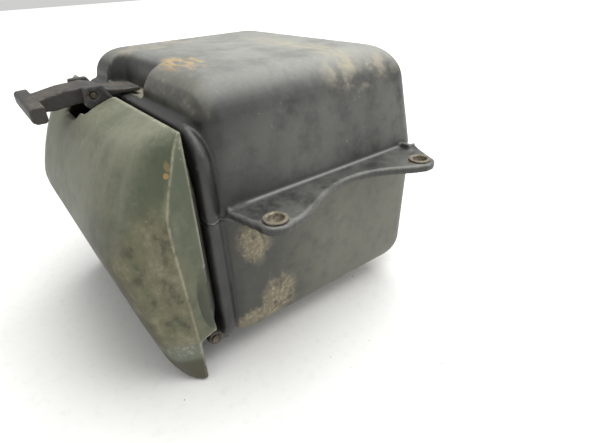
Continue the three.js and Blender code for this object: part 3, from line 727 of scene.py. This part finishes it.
MAT = {
    "housing_black": housing_material(),
    "door_green": door_material(),
    "liner_black": plain_plastic("liner_black", (0.018, 0.018, 0.020), (0.028, 0.028, 0.030), (0.105, 0.100, 0.085), 0.50, 0.5),
    "latch_black": plain_plastic("latch_black", (0.022, 0.021, 0.021), (0.036, 0.034, 0.032), (0.150, 0.125, 0.090), 0.52, 0.75),
    "seal_rubber": rubber_material("seal_rubber", (0.012, 0.012, 0.013), (0.024, 0.024, 0.025), (0.11, 0.10, 0.08), 0.5),
    "boot_rubber": rubber_material("boot_rubber", (0.016, 0.016, 0.017), (0.030, 0.030, 0.031), (0.135, 0.125, 0.10), 0.7),
    "filter_rubber": rubber_material("filter_rubber", (0.020, 0.019, 0.018), (0.034, 0.032, 0.030), (0.13, 0.11, 0.08), 0.4),
    "sleeve_steel": metal_material("sleeve_steel", (0.30, 0.27, 0.215), (0.17, 0.15, 0.115), (0.085, 0.060, 0.036), 0.5, 0.55),
    "zinc_steel": metal_material("zinc_steel", (0.62, 0.60, 0.55), (0.45, 0.43, 0.39), (0.22, 0.105, 0.04), 0.15, 0.36),
    "muddy_steel": metal_material("muddy_steel", (0.105, 0.092, 0.072), (0.070, 0.062, 0.050), (0.060, 0.044, 0.028), 0.6, 0.70),
    "filter_paper": paper_material(),
    "filter_foam": foam_material(),
}

BODY_OF = {n: b for b, members in frame["record"]["behaviour"]["bodies"].items() for n in members}
SLOT_OF = {s["node"]: s["material_slot"] for s in frame["record"]["subparts"]}


def install(o, node, finish=None):
    """Gives the piece its name, finish and body, and lets it stand for the CAD node."""
    slot = SLOT_OF[node]
    if o.data.attributes.get("ridge") is None:
        relief(o, 2)
    o.name = node + ".shown"
    o.data.name = o.name
    o.data.materials.clear()
    o.data.materials.append(MAT[finish or slot])
    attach(o, BODY_OF[node])
    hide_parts(node)
    return o


# ------------------------------------------------------------------ box shells
HALF_W, DEPTH, TOP_Z, BOTTOM_Z = 100, 160, 71, -98
DRAFT_UP, DRAFT_DOWN = 0.126, 0.025
CORNER_R, TOP_R, BOTTOM_R, WALL, FRONT_Y, GAP = 12, 20, 24, 2.8, -1, 0.15
RIM_Y, RIM_W, RIM_TOP, RIM_BOTTOM, RIM_R = -7.5, 99, 51, -92, 22
FLANGE_T, EARS, EAR_R, EAR_BORE = 5, ((124.3, 18.7), (123.6, 133.4)), 9.6, 5.6
HINGE_Y, HINGE_Z, KNUCKLE_R, PIN_R = -11.5, -86.5, 4.9, 2
LATCH_X, LATCH_Y, LATCH_Z, LATCH_PIN_R = -18, -25, 55, 1.8
FILTER_Z, OUTLET_R = -21, 22.5


def box_ring(z, seg=12):
    up = z >= 0
    drop = z * math.tan(DRAFT_UP) if up else -z * math.tan(DRAFT_DOWN)
    R = TOP_R if up else BOTTOM_R
    edge = TOP_Z - R if up else -(BOTTOM_Z + R)
    over = max(0, abs(z) - edge)
    rnd = R - math.sqrt(max(0, R * R - over * over))
    s = drop + rnd
    r = max(CORNER_R - rnd * 0.45, 6.5)
    return [(x, y, z) for x, y in rrect(-HALF_W + s, HALF_W - s, FRONT_Y + rnd, DEPTH - s, r, seg)]


def box_half(sign, inner):
    R = TOP_R if sign > 0 else BOTTOM_R
    end = TOP_Z if sign > 0 else -BOTTOM_Z
    hs = [0, (end - R) / 3, (end - R) * 2 / 3] + [
        end - R + R * math.sin(i / 16 * math.pi / 2) for i in range(17)
    ]
    rings = []
    cy = (FRONT_Y + DEPTH) / 2
    for h in hs:
        ring = box_ring(sign * h)
        if inner:
            z = sign * h * (end - WALL) / end
            ring = [
                (x * (1 - WALL / HALF_W), cy + (y - cy) * (1 - WALL * 2 / (DEPTH - FRONT_Y)), z)
                for x, y, _ in ring
            ]
        rings.append(ring)
    if inner:
        rings.insert(0, [(x, y, -sign * 2) for x, y, _ in rings[0]])
    return loft(rings)


def rim_body():
    table = np.array([[0, 3], [0.7, 1.2], [2.2, 0.2], [4.5, 0], [7, 0.9], [10, 4.5]], float)
    ys = np.linspace(0, 10, 26)
    ss = np.interp(ys, table[:, 0], table[:, 1])
    rings = []
    for y, s in zip(ys, ss):
        rings.append([
            (a, RIM_Y + y, b)
            for a, b in rrect(-RIM_W + s, RIM_W - s, RIM_BOTTOM + s, RIM_TOP - s, RIM_R - s * 0.5, 14)
        ])
    return loft(rings)


def flange():
    pts = [(95, 5), (99.5, 4)]
    (ax, ay), (bx, by) = EARS

    def arc(cx, cy, r, a0, a1, n):
        for i in range(n + 1):
            t = math.radians(a0 + (a1 - a0) * i / n)
            pts.append((cx + r * math.cos(t), cy + r * math.sin(t)))

    arc(ax, ay, EAR_R, -95, 20, 20)
    ctrl = np.array([[133.32, 21.98], [130.5, 34], [123.5, 48], [116.5, 62], [113.3, 73], [112.6, 82], [113.2, 91], [116.2, 101], [122, 112], [129, 122], [132.73, 130.43]], float)
    u = np.linspace(0, len(ctrl) - 1, 50)[1:-1]
    k = np.arange(len(ctrl))
    xs, ys = np.interp(u, k, ctrl[:, 0]), np.interp(u, k, ctrl[:, 1])
    for _ in range(4):
        xs[1:-1] = (xs[:-2] + 2 * xs[1:-1] + xs[2:]) / 4
        ys[1:-1] = (ys[:-2] + 2 * ys[1:-1] + ys[2:]) / 4
    pts.extend(zip(xs.tolist(), ys.tolist()))
    arc(bx, by, EAR_R, -18, 82, 18)
    pts.extend([(112, 149), (104, 152), (95, 152)])
    return prism(pts, "z", GAP, FLANGE_T)


def valley(grow):
    """The hollow for the latch in the front edge of the top; its walls lean out and roll over at the top."""
    rows = [(49.5 - grow, 0), (52, 0.2), (56, 0.6), (60, 1.1), (63, 1.6), (66, 2.5), (68, 3.6), (69.5, 5.2), (71, 8.5)]
    if grow:
        rows = [(49.5 - grow, 0), (56, 0.6), (63, 1.6), (69, 3.4), (73, 5)]
    else:
        rows += [(78, 24)]
    return loft([
        [(x, y, z) for x, y in rrect(LATCH_X - 34.5 - grow - o, LATCH_X + 34.5 + grow + o, -30, 10.5 + grow + o * 1.15, 9 + o * 0.6, 10)]
        for z, o in rows
    ])


def side_block(z0, z1):
    return block(-200, 200, -60, 260, z0, z1)


def back_bore(x, z, r, y0=140, y1=175):
    return rod((x, y0, z), (x, y1, z), r)


upper_hollow = cut(box_half(1, True), valley(2.8))
rim_up = keep_inside(rim_body(), side_block(GAP, 200))
rim_down = keep_inside(rim_body(), side_block(-200, -GAP))
mouth = lambda: prism(rrect(-83, 83, -66, 24, 12, 8), "y", -20, 12)
upper = add(box_half(1, False), rim_up)
notch = keep_inside(valley(0), add(block(-200, 200, -0.4, 60, 40, 90), block(-200, 200, -20, 60, 51.05, 90)))
cut(upper, twin(upper_hollow), notch, mouth())
fl = flange()
fl2 = twin(fl, -1)
add(upper, fl, fl2)
for s in (1, -1):
    for ex, ey in EARS:
        cut(upper, rod((s * ex, ey, -5), (s * ex, ey, 12), EAR_BORE))
keep_inside(upper, side_block(GAP, 200))
cut(upper, upper_hollow)
cut(upper, back_bore(0, FILTER_Z, OUTLET_R + 0.6), back_bore(-58, 34, 17.6, 135), back_bore(62, 40, 6.5, 135))
# a small open lug at the root of each rear ear, as the moulding has
for s in (1, -1):
    lug = prism([(s * 101.5, 141.5), (s * 108.5, 141.5), (s * 108.5, 148.2), (s * 101.5, 148.2)], "z", 2, 9.2)
    add(upper, lug)
    cut(upper, prism([(s * 99.5, 143.2), (s * 106.8, 143.2), (s * 106.8, 150), (s * 99.5, 150)], "z", 6.4, 12))
mould(upper, 1.35, 3, "upper_shell_shown")
install(upper, "upper_shell")

lower = add(box_half(-1, False), rim_down)
cut(lower, box_half(-1, True), mouth())
for s in (1, -1):
    xs = sorted((s * 80, s * 90))
    arm = add(
        block(xs[0], xs[1], HINGE_Y, -2, HINGE_Z - 4, HINGE_Z + 3.4),
        rod((xs[0], HINGE_Y, HINGE_Z), (xs[1], HINGE_Y, HINGE_Z), KNUCKLE_R),
    )
    add(lower, arm)
keep_inside(lower, side_block(-200, -GAP))
for s in (1, -1):
    cut(lower, rod((s * 50, HINGE_Y, HINGE_Z), (s * 98, HINGE_Y, HINGE_Z), PIN_R + 0.3))
    cut(lower, rod((s * 65.6, HINGE_Y, HINGE_Z), (s * 79.8, HINGE_Y, HINGE_Z), KNUCKLE_R + 0.6))
cut(lower, back_bore(0, FILTER_Z, OUTLET_R + 0.6))
add(lower, pipe(3.4, 5.4, 0, 18, (70, 150, -84), seg=32))
cut(lower, rod((70, 145, -84), (70, 180, -84), 3.4))
mould(lower, 1.45, 4, "lower_shell_shown")
install(lower, "lower_shell")

# ------------------------------------------------------------------ door
DOOR = np.array([
    [53, -15.6, -14, -14.9], [50, -26, -15.5, -22], [45, -36, -18, -25.6], [36, -42.5, -20.8, -29.7], [25, -48.5, -24.5, -34.6],
    [12, -54, -28, -41.3], [0, -57.6, -28.5, -48.6], [-9, -59.3, -28.2, -54], [-14, -58.9, -28, -55.4], [-35, -54.5, -27, -50.5],
    [-62, -49, -26, -46.3], [-86, -43.8, -24.9, -40], [-100, -40.5, -24.6, -36], [-109, -37, -24.8, -31],
], float)
DOOR_W, DOOR_T, RETURN_Y = 98, 3, -12.7


def ease(values, sigma, step):
    n = max(1, int(3 * sigma / step))
    k = np.exp(-0.5 * (np.arange(-n, n + 1) * step / sigma) ** 2)
    k /= k.sum()
    padded = np.concatenate([2 * values[0] - values[n:0:-1], values, 2 * values[-1] - values[-2:-n - 2:-1]])
    return np.convolve(padded, k, "valid")


def door_rows(rows, step=1.5):
    z = np.linspace(rows[0, 0], rows[-1, 0], int(abs(rows[0, 0] - rows[-1, 0]) / step) + 1)
    d = abs(z[1] - z[0])
    cols = [z]
    for c in (1, 2, 3):
        v = np.interp(-z, -rows[:, 0], rows[:, c])
        cols.append(ease(v, 2.2, d))
    return np.stack(cols, 1)


def door_ring(row, t, rear):
    z, front, crease, soft = row
    k = t / 3
    yf, ys, yc = front + t, soft + 2.3 * k, crease + 1.0 * k
    kx = [97.5 - t, 90 - 2.4 * k, 83 - 2 * k, 74 - 1.5 * k, 60, 0]
    ky = [yc, ys, ys + (yf - ys) * 0.5, ys + (yf - ys) * 0.84, yf, yf]
    xs = np.linspace(kx[0], 0, 66)
    ya = np.interp(-xs, [-v for v in kx], ky)
    yb = ease(ya, 2.0, abs(xs[1] - xs[0]))
    w = np.clip((kx[0] - xs) / 4, 0, 1)
    ya = ya * (1 - w) + yb * w
    right = [(DOOR_W - t, rear), (DOOR_W - t, yc + 0.9)] + list(zip(xs.tolist(), ya.tolist()))
    left = [(-x, y) for x, y in right[::-1]][1:]
    return [(x, y, z) for x, y in right + left]


door_outer = loft([door_ring(r, 0, RETURN_Y) for r in door_rows(DOOR)])
inner_rows = DOOR.copy()
inner_rows[:, 0] += 0.11
inner_rows[0] = [50, -17.4, -15.2, -16.5]
inner_rows[1, 0], inner_rows[2, 0] = 47.6, 43.2
inner_rows[-1, 0] = -114
door_inner = loft([door_ring(r, DOOR_T, RETURN_Y + 30) for r in door_rows(inner_rows)])
door_shell = twin(door_outer)
panel = cut(door_outer, door_inner, prism([(-23.2, -75.3), (-6, -70.3), (-6, -122), (-23.2, -122)], "x", -110, 110))
POSTS = [(-76, 16), (76, 16), (-76, -56), (76, -56)]
for px, pz in POSTS:
    post = keep_inside(rod((px, -15.3, pz), (px, -70, pz), 4.4), twin(door_shell))
    add(panel, post)
    cut(panel, rod((px, -32, pz), (px, -10, pz), 1.9))
cut(panel, block(LATCH_X - 21.5, LATCH_X + 21.5, -33, -8, 40, 60), block(LATCH_X - 14, LATCH_X + 14, -40, -32, 41, 60))
bpy.data.objects.remove(door_shell)


def ellipsoid(c, r, seg=40, rows=24):
    rings = []
    for i in range(rows + 1):
        a = math.pi * (0.02 + 0.96 * i / rows)
        rings.append([
            (c[0] + r[0] * math.sin(a) * math.cos(t), c[1] + r[1] * math.sin(a) * math.sin(t), c[2] + r[2] * math.cos(a))
            for t in [2 * math.pi * j / seg for j in range(seg)]
        ])
    return loft(rings)


# lower corners of the door, rounded
for s in (1, -1):
    corner = prism([(s * (98.6 - 7 + 7 * math.sin(math.radians(t))), -109.2 + 7 - 7 * math.cos(math.radians(t))) for t in range(0, 91, 9)] + [(s * 104, -102.2), (s * 104, -116), (s * 91.6, -116)], "y", -70, -10)
    cut(panel, corner)
# shallow scoop low on each return, against its rear edge
for s in (1, -1):
    cut(panel, ellipsoid((s * 99.0, -12.2, -46), (2.7, 8.4, 24)))
mould(panel, 1.15, 3, "door_panel_shown")
co = relief(panel, 6)
dx, dy, dz = co[:, 0], co[:, 1] - SHIFT[1], co[:, 2] - SHIFT[2]
crease_y = np.interp(-dz, -DOOR[:, 0], DOOR[:, 2])
crease = np.hypot(np.maximum(97.6 - np.abs(dx), 0), dy - (crease_y + 0.5))
store(panel, "crease", np.clip(1 - crease / 3.2, 0, 1))
store(panel, "rear_side", np.clip((dy - crease_y - 0.8) / 1.6, 0, 1) * (np.abs(dx) > 94))
soft_y = np.interp(-dz, -DOOR[:, 0], DOOR[:, 3])
store(panel, "facet", np.clip((np.abs(dx) - 84) / 7, 0, 1) * (1 - np.clip((dy - crease_y - 0.8) / 1.6, 0, 1)))
front_y = np.interp(-dz, -DOOR[:, 0], DOOR[:, 1])
ax = np.abs(dx)
slope = np.interp(ax, [60, 74, 83, 90], [0, 0.16, 0.5, 1])
skin_y = np.where(ax <= 90, front_y + slope * (soft_y - front_y), soft_y + (ax - 90) / 7.5 * (crease_y - soft_y))
store(panel, "inside", np.clip((dy - skin_y - np.interp(ax, [60, 80, 90], [2.0, 2.6, 7.0])) / 0.8, 0, 1) * (ax < 95.6))
install(panel, "door_panel")


def from_cad(node, voxel, rounds):
    me = frame["nodes"][node].data.copy()
    o = bpy.data.objects.new(node + "_copy", me)
    scene.collection.objects.link(o)
    bm = bmesh.new()
    bm.from_mesh(me)
    bmesh.ops.remove_doubles(bm, verts=bm.verts, dist=1e-6)
    bm.to_mesh(me)
    bm.free()
    return mould(o, voxel, rounds, node + "_moulded")


install(from_cad("door_liner", 1.0, 2), "door_liner")
install(from_cad("latch_lever", 0.6, 5), "latch_lever")

# seal: a soft double-step ring with rounded crown
def seal_ring(e, r):
    return rrect(-94.6 + e, 94.6 - e, -78 + e, 36 - e, r, 14)


section = [(2.6, -12.3), (2.6, -9.6), (3.1, -9.0), (4.2, -8.9), (4.5, -8.3), (5.0, -7.85), (6.3, -7.7), (7.6, -7.85), (8.1, -8.3), (8.4, -8.9), (9.6, -9.0), (10.1, -9.6), (10.1, -12.3)]
rings = [[(a, y, b) for a, b in seal_ring(e, max(20 - e, 9.8))] for e, y in section]
n = len(rings[0])
faces = [
    (k * n + i, k * n + (i + 1) % n, ((k + 1) % len(rings)) * n + (i + 1) % n, ((k + 1) % len(rings)) * n + i)
    for k in range(len(rings))
    for i in range(n)
]
seal = shade(raw("seal", [q for r in rings for q in r], faces), 50)
install(seal, "door_seal")

# ------------------------------------------------------------------ small parts
lp = turned(
    [(0, -20.9), (2.3, -20.9), (3, -20.4), (3, -19.9), (1.8, -19.9), (1.8, 19.7), (1.3, 20.2), (0, 20.2), (0, -20.9)],
    (LATCH_X, LATCH_Y, LATCH_Z), (1, 0, 0), 32, 0.2,
)
install(shade(lp, 40), "latch_pin", "muddy_steel")
coil = [
    (LATCH_X + 13.45 + 2.1 * i / 80, LATCH_Y + 3.3 * math.cos(i / 80 * 1.86 * 2 * math.pi), LATCH_Z + 3.3 * math.sin(i / 80 * 1.86 * 2 * math.pi))
    for i in range(81)
]
install(shade(wire(coil, 0.45)), "latch_spring")

for i, (ex, ey) in enumerate(EARS):
    for s in (1, -1):
        sleeve = turned(
            [(4.5, 0.2), (5.2, 0.2), (5.2, FLANGE_T + 0.3), (7.0, FLANGE_T + 0.3), (6.7, FLANGE_T + 1.2), (5.0, FLANGE_T + 1.2), (4.5, FLANGE_T + 0.6), (4.5, 0.2)],
            (s * ex, ey, 0), (0, 0, 1), 48, 0.35,
        )
        install(shade(sleeve, 50), f"ear_sleeve_{'front' if i == 0 else 'rear'}_{'right' if s > 0 else 'left'}")

for s, name in ((1, "hinge_pin_right"), (-1, "hinge_pin_left")):
    pin = turned(
        [(0, 65.2), (1.5, 65.2), (2, 65.8), (2, 90.4), (3.2, 90.4), (3.2, 91), (2.7, 91.4), (0, 91.4), (0, 65.2)],
        (0, HINGE_Y, HINGE_Z), (s, 0, 0), 32, 0.2,
    )
    install(shade(pin, 40), name, "muddy_steel")

for (px, pz), name in zip(POSTS, ("upper_left", "upper_right", "lower_left", "lower_right")):
    screw = turned(
        [(0, -27), (0.8, -27), (1.6, -24.5), (1.6, -12.3), (4, -12.3), (4, -11.9), (3.3, -10.7), (2.2, -10.25), (0, -10.2), (0, -27)],
        (px, 0, pz), (0, 1, 0), 32, 0.15,
    )
    cut(screw, block(px - 0.5, px + 0.5, -11.2, -7, pz - 2.2, pz + 2.2), block(px - 2.2, px + 2.2, -11.2, -7, pz - 0.5, pz + 0.5))
    install(shade(screw, 35), "panel_screw_" + name)

FC = (0, 0, FILTER_Z)
R = OUTLET_R
tube = turned(
    [(R - 3, 118), (R, 118), (R, 151), (R + 8, 151), (R + 8, 153.2), (R, 153.2), (R, 162.5), (R + 6, 162.5), (R + 6, 165.5), (R + 0.5, 167), (R + 0.5, 182), (R + 2, 183.5), (R + 1, 186), (R - 3, 186), (R - 3, 118)],
    FC, seg=96, soft=0.8,
)
install(shade(tube, 60), "outlet_tube")
band = pipe(R + 0.85, R + 1.7, 170, 180, FC, seg=96, soft=0.2)
ear = bevelled(block(-7, 7, 171, 179, FILTER_Z + R + 1.2, FILTER_Z + R + 7), 0.5)
add(band, ear)
cut(band, rod((-10, 175, FILTER_Z + R + 4.4), (10, 175, FILTER_Z + R + 4.4), 2.1))
for side in (1, -1):
    for k in range(5):
        y = 171.6 + k * 1.7
        cut(band, block(*sorted((side * (R + 0.4) * 0.93, side * (R + 3) * 1.0)), y - 0.25, y + 0.25, FILTER_Z - 4.0, FILTER_Z + 4.0))
install(shade(band, 35), "outlet_clamp")
zc = FILTER_Z + R + 4.4
screw = rod((-9, 175, zc), (8, 175, zc), 1.8)
head = loft([
    [(xx, 175 + rr * math.cos(math.radians(60 * i + 30)), zc + rr * math.sin(math.radians(60 * i + 30))) for i in range(6)]
    for xx, rr in ((8, 3.6), (11.5, 3.6), (12, 3.2))
])
add(screw, head)
cut(screw, block(11, 14, 174.6, 175.4, zc - 4, zc + 4))
install(shade(bevelled(screw, 0.15, 1), 30), "clamp_screw")


def pleats():
    n, steps = 30, 7
    outer, inner = [], []
    for i in range(n * 2 * steps):
        a = i / (n * 2 * steps) * 2 * math.pi
        t = (i % (2 * steps)) / (2 * steps)
        tri = 1 - abs(2 * t - 1)
        w = 0.5 - 0.5 * math.cos(math.pi * tri)
        r = 37 - (37 - 28.6) * w
        outer.append((r * math.cos(a), r * math.sin(a)))
        inner.append(((r - 1.6) * math.cos(a), (r - 1.6) * math.sin(a)))
    m = len(outer)
    levels = [46.3 + 66 * k / 22 for k in range(23)]
    verts, faces = [], []
    for y in levels:
        wob = 0.12 * math.sin(y * 0.21)
        for (a, b) in outer:
            verts.append((a * (1 - wob * 0.004), y, FILTER_Z + b))
    base = len(verts)
    for y in levels:
        for (a, b) in inner:
            verts.append((a, y, FILTER_Z + b))
    L = len(levels)
    for k in range(L - 1):
        for i in range(m):
            j = (i + 1) % m
            faces.append((k * m + i, k * m + j, (k + 1) * m + j, (k + 1) * m + i))
            faces.append((base + k * m + j, base + k * m + i, base + (k + 1) * m + i, base + (k + 1) * m + j))
    for i in range(m):
        j = (i + 1) % m
        faces.append((i, base + i, base + j, j))
        faces.append(((L - 1) * m + i, (L - 1) * m + j, base + (L - 1) * m + j, base + (L - 1) * m + i))
    return raw("pleats", verts, faces)


install(shade(pleats(), 50), "filter_media")
cage = None
for i in range(8):
    a = (i + 0.5) / 8 * 2 * math.pi
    bar = rod((25.6 * math.cos(a), 45.2, FILTER_Z + 25.6 * math.sin(a)), (25.6 * math.cos(a), 113.8, FILTER_Z + 25.6 * math.sin(a)), 0.9, seg=12)
    cage = bar if cage is None else add(cage, bar)
add(cage, pipe(24.7, 26.5, 45, 48, FC, soft=0.4), pipe(24.7, 26.5, 78, 80, FC, soft=0.4), pipe(24.7, 26.5, 111, 114, FC, soft=0.4))
install(shade(cage, 45), "filter_cage")


def foam():
    seg, rows = 160, 60
    verts, faces = [], []
    prof = [(37.4, 46.3 + 66 * i / rows, 0) for i in range(rows + 1)] + [(42, 112.3 - 66 * i / rows, 1) for i in range(rows + 1)]
    m = len(prof)
    rng = np.random.default_rng(7)
    lump = rng.normal(0, 1, (seg, m))
    for _ in range(3):
        lump = (np.roll(lump, 1, 0) + 2 * lump + np.roll(lump, -1, 0)) / 4
        lump = (np.roll(lump, 1, 1) + 2 * lump + np.roll(lump, -1, 1)) / 4
    for i in range(seg):
        a = 2 * math.pi * i / seg
        for k, (r, y, out) in enumerate(prof):
            end = min(y - 46.3, 112.3 - y)
            q = r + (0.28 * lump[i, k] - 0.15 - 0.7 * math.exp(-end / 0.9)) * (1 if out else -0.2) * (1 if out else 0.4)
            verts.append((q * math.cos(a), y, FILTER_Z + q * math.sin(a)))
    for i in range(seg):
        j = (i + 1) % seg
        for k in range(m):
            l = (k + 1) % m
            faces.append((i * m + k, i * m + l, j * m + l, j * m + k))
    return raw("foam", verts, faces)


sleeve = shade(foam(), 60)
install(sleeve, "foam_sleeve")

cap = turned(
    [(0, 36), (12, 36), (14, 38), (36, 38), (41.5, 39.5), (43, 42), (43, 49), (42.3, 49), (42.3, 46), (27, 46), (27, 44.4), (0, 44.4), (0, 36)],
    FC, seg=96, soft=0.6,
)
add(cap, bevelled(block(-18, 18, 29, 37, FILTER_Z - 1.6, FILTER_Z + 1.6), 0.7))
install(shade(cap, 50), "filter_end_cap")
neck = turned(
    [(R + 0.4, 114.3), (27, 114.3), (27, 112.6), (42.3, 112.6), (42.3, 109), (43, 109), (43, 116), (40, 118.5), (29, 119), (R + 3.4, 122), (R + 3.4, 140), (R + 0.4, 140), (R + 0.4, 114.3)],
    FC, seg=96, soft=0.6,
)
install(shade(neck, 60), "filter_neck")
fband = add(pipe(R + 3.75, R + 4.6, 126, 135, FC, seg=96, soft=0.2), bevelled(block(-6, 6, 127, 134, FILTER_Z + R + 4.1, FILTER_Z + R + 9), 0.5))
install(shade(fband, 35), "filter_clamp")

duct = turned(
    [(14, 0), (17, 0), (17, 4.4), (21, 4.4), (21, 6.6), (17, 6.6), (17, 16.6), (21, 16.6), (21, 18.6), (17, 18.6), (17, 34), (18, 35), (17, 37), (14, 37), (14, 0)],
    (-58, 142, 34), seg=72, soft=0.6,
)
install(shade(duct, 60), "inlet_duct")
install(shade(pipe(17.35, 18.4, 23, 29, (-58, 142, 34), seg=72, soft=0.2), 40), "inlet_clip")
grommet = turned(
    [(3.5, 4), (6, 4), (6, 6.2), (9, 6.2), (9, 8.5), (6, 8.5), (6, 14.6), (9, 14.6), (9, 16.6), (3.5, 16.6), (3.5, 4)],
    (62, 142, 40), seg=48, soft=0.7,
)
install(shade(grommet, 60), "breather_grommet")
nipple = turned(
    [(2, 0), (5, 0), (5, 3), (3.2, 3.4), (3.2, 30), (4, 31.5), (3.2, 33.5), (2, 33.5), (2, 0)],
    (62, 142, 40), seg=48, soft=0.3,
)
install(shade(nipple, 50), "breather_nipple")
drain = turned(
    [(5.7, 10.6), (7.4, 10.6), (7.4, 19.5), (5, 23.5), (3, 30), (0, 30), (0, 18.4), (5.7, 18.4), (5.7, 10.6)],
    (70, 150, -84), seg=48, soft=0.7,
)
install(shade(drain, 60), "drain_cap")

# ------------------------------------------------------------------ floor, light, camera
def floor_material():
    p = Paint("floor_white")
    x, y = p.x, p.y
    a = p.noise(240, 4, 0.5)
    b = p.noise(6, 3, 0.6)
    speck = p.noise(4.5, 2, 0.5, at=(3, 1, 0)).step(0.765, 0.785)
    col = p.mix((0.80, 0.80, 0.79), (0.86, 0.86, 0.855), a.step(0.3, 0.7))
    col = p.mix(col, (0.70, 0.69, 0.67), b.step(0.5, 0.8) * 0.35)
    col = p.mix(col, (0.10, 0.08, 0.06), speck * 0.8)
    away = ((x * x + y * y).power(0.5)).step(350, 1500)
    p.t.links.new(p.colour((1.0, 1.0, 0.99)), p.bsdf.inputs["Emission Color"])
    p.t.links.new((away * 0.55).s, p.bsdf.inputs["Emission Strength"])
    return p.done(col, 0.75, b, 0.1, specular=0.2)


def plane(size):
    me = bpy.data.meshes.new("floor")
    me.from_pydata([(-size, -size, 0), (size, -size, 0), (size, size, 0), (-size, size, 0)], [], [(0, 1, 2, 3)])
    o = bpy.data.objects.new("floor", me)
    scene.collection.objects.link(o)
    return o


floor = plane(6.0)
floor.data.materials.append(floor_material())
floor.location.z = -0.0004


def lamp(name, where, target, size, power, colour=(1, 1, 1)):
    d = bpy.data.lights.new(name, "AREA")
    d.shape = "RECTANGLE"
    d.size, d.size_y = size
    d.energy = power
    d.color = colour
    o = bpy.data.objects.new(name, d)
    o.location = where
    o.rotation_euler = (Vector(target) - Vector(where)).to_track_quat("-Z", "Y").to_euler()
    scene.collection.objects.link(o)
    return o


lamp("ceiling", (0.1, 0.5, 1.7), (0, 0, 0), (2.4, 1.5), 44, (1.0, 0.995, 0.975))
lamp("window", (1.5, 1.1, 1.0), (0, 0, 0.1), (1.2, 0.8), 7, (1.0, 1.0, 0.98))
world = bpy.data.worlds.new("pale")
world.use_nodes = True
bg = next(n for n in world.node_tree.nodes if n.type == "BACKGROUND")
bg.inputs["Color"].default_value = (1.0, 1.0, 0.99, 1)
bg.inputs["Strength"].default_value = 0.62
scene.world = world
scene.view_settings.view_transform = "Standard"
scene.view_settings.look = "None"

ROT = (
    (0.6060708842696718, 0.7940787066276745, -0.04601185631006233),
    (0.37747912626892577, -0.3380598884329331, -0.8621049942228391),
    (-0.7001339818005027, 0.5051282208640027, -0.5046363918852275),
)
cam_data = bpy.data.cameras.new("view")
cam_data.lens = 425.2946 * 36 / 590
cam_data.sensor_width = 36
cam_data.clip_start = 0.01
cam = bpy.data.objects.new("view", cam_data)
scene.collection.objects.link(cam)
right, down, ahead = (Vector(v) for v in ROT)
m = Matrix((right, -down, -ahead)).transposed().to_4x4()
m.translation = Vector(P(283.05755, -83.71927, 113.37460))
cam.matrix_world = m
scene.camera = cam
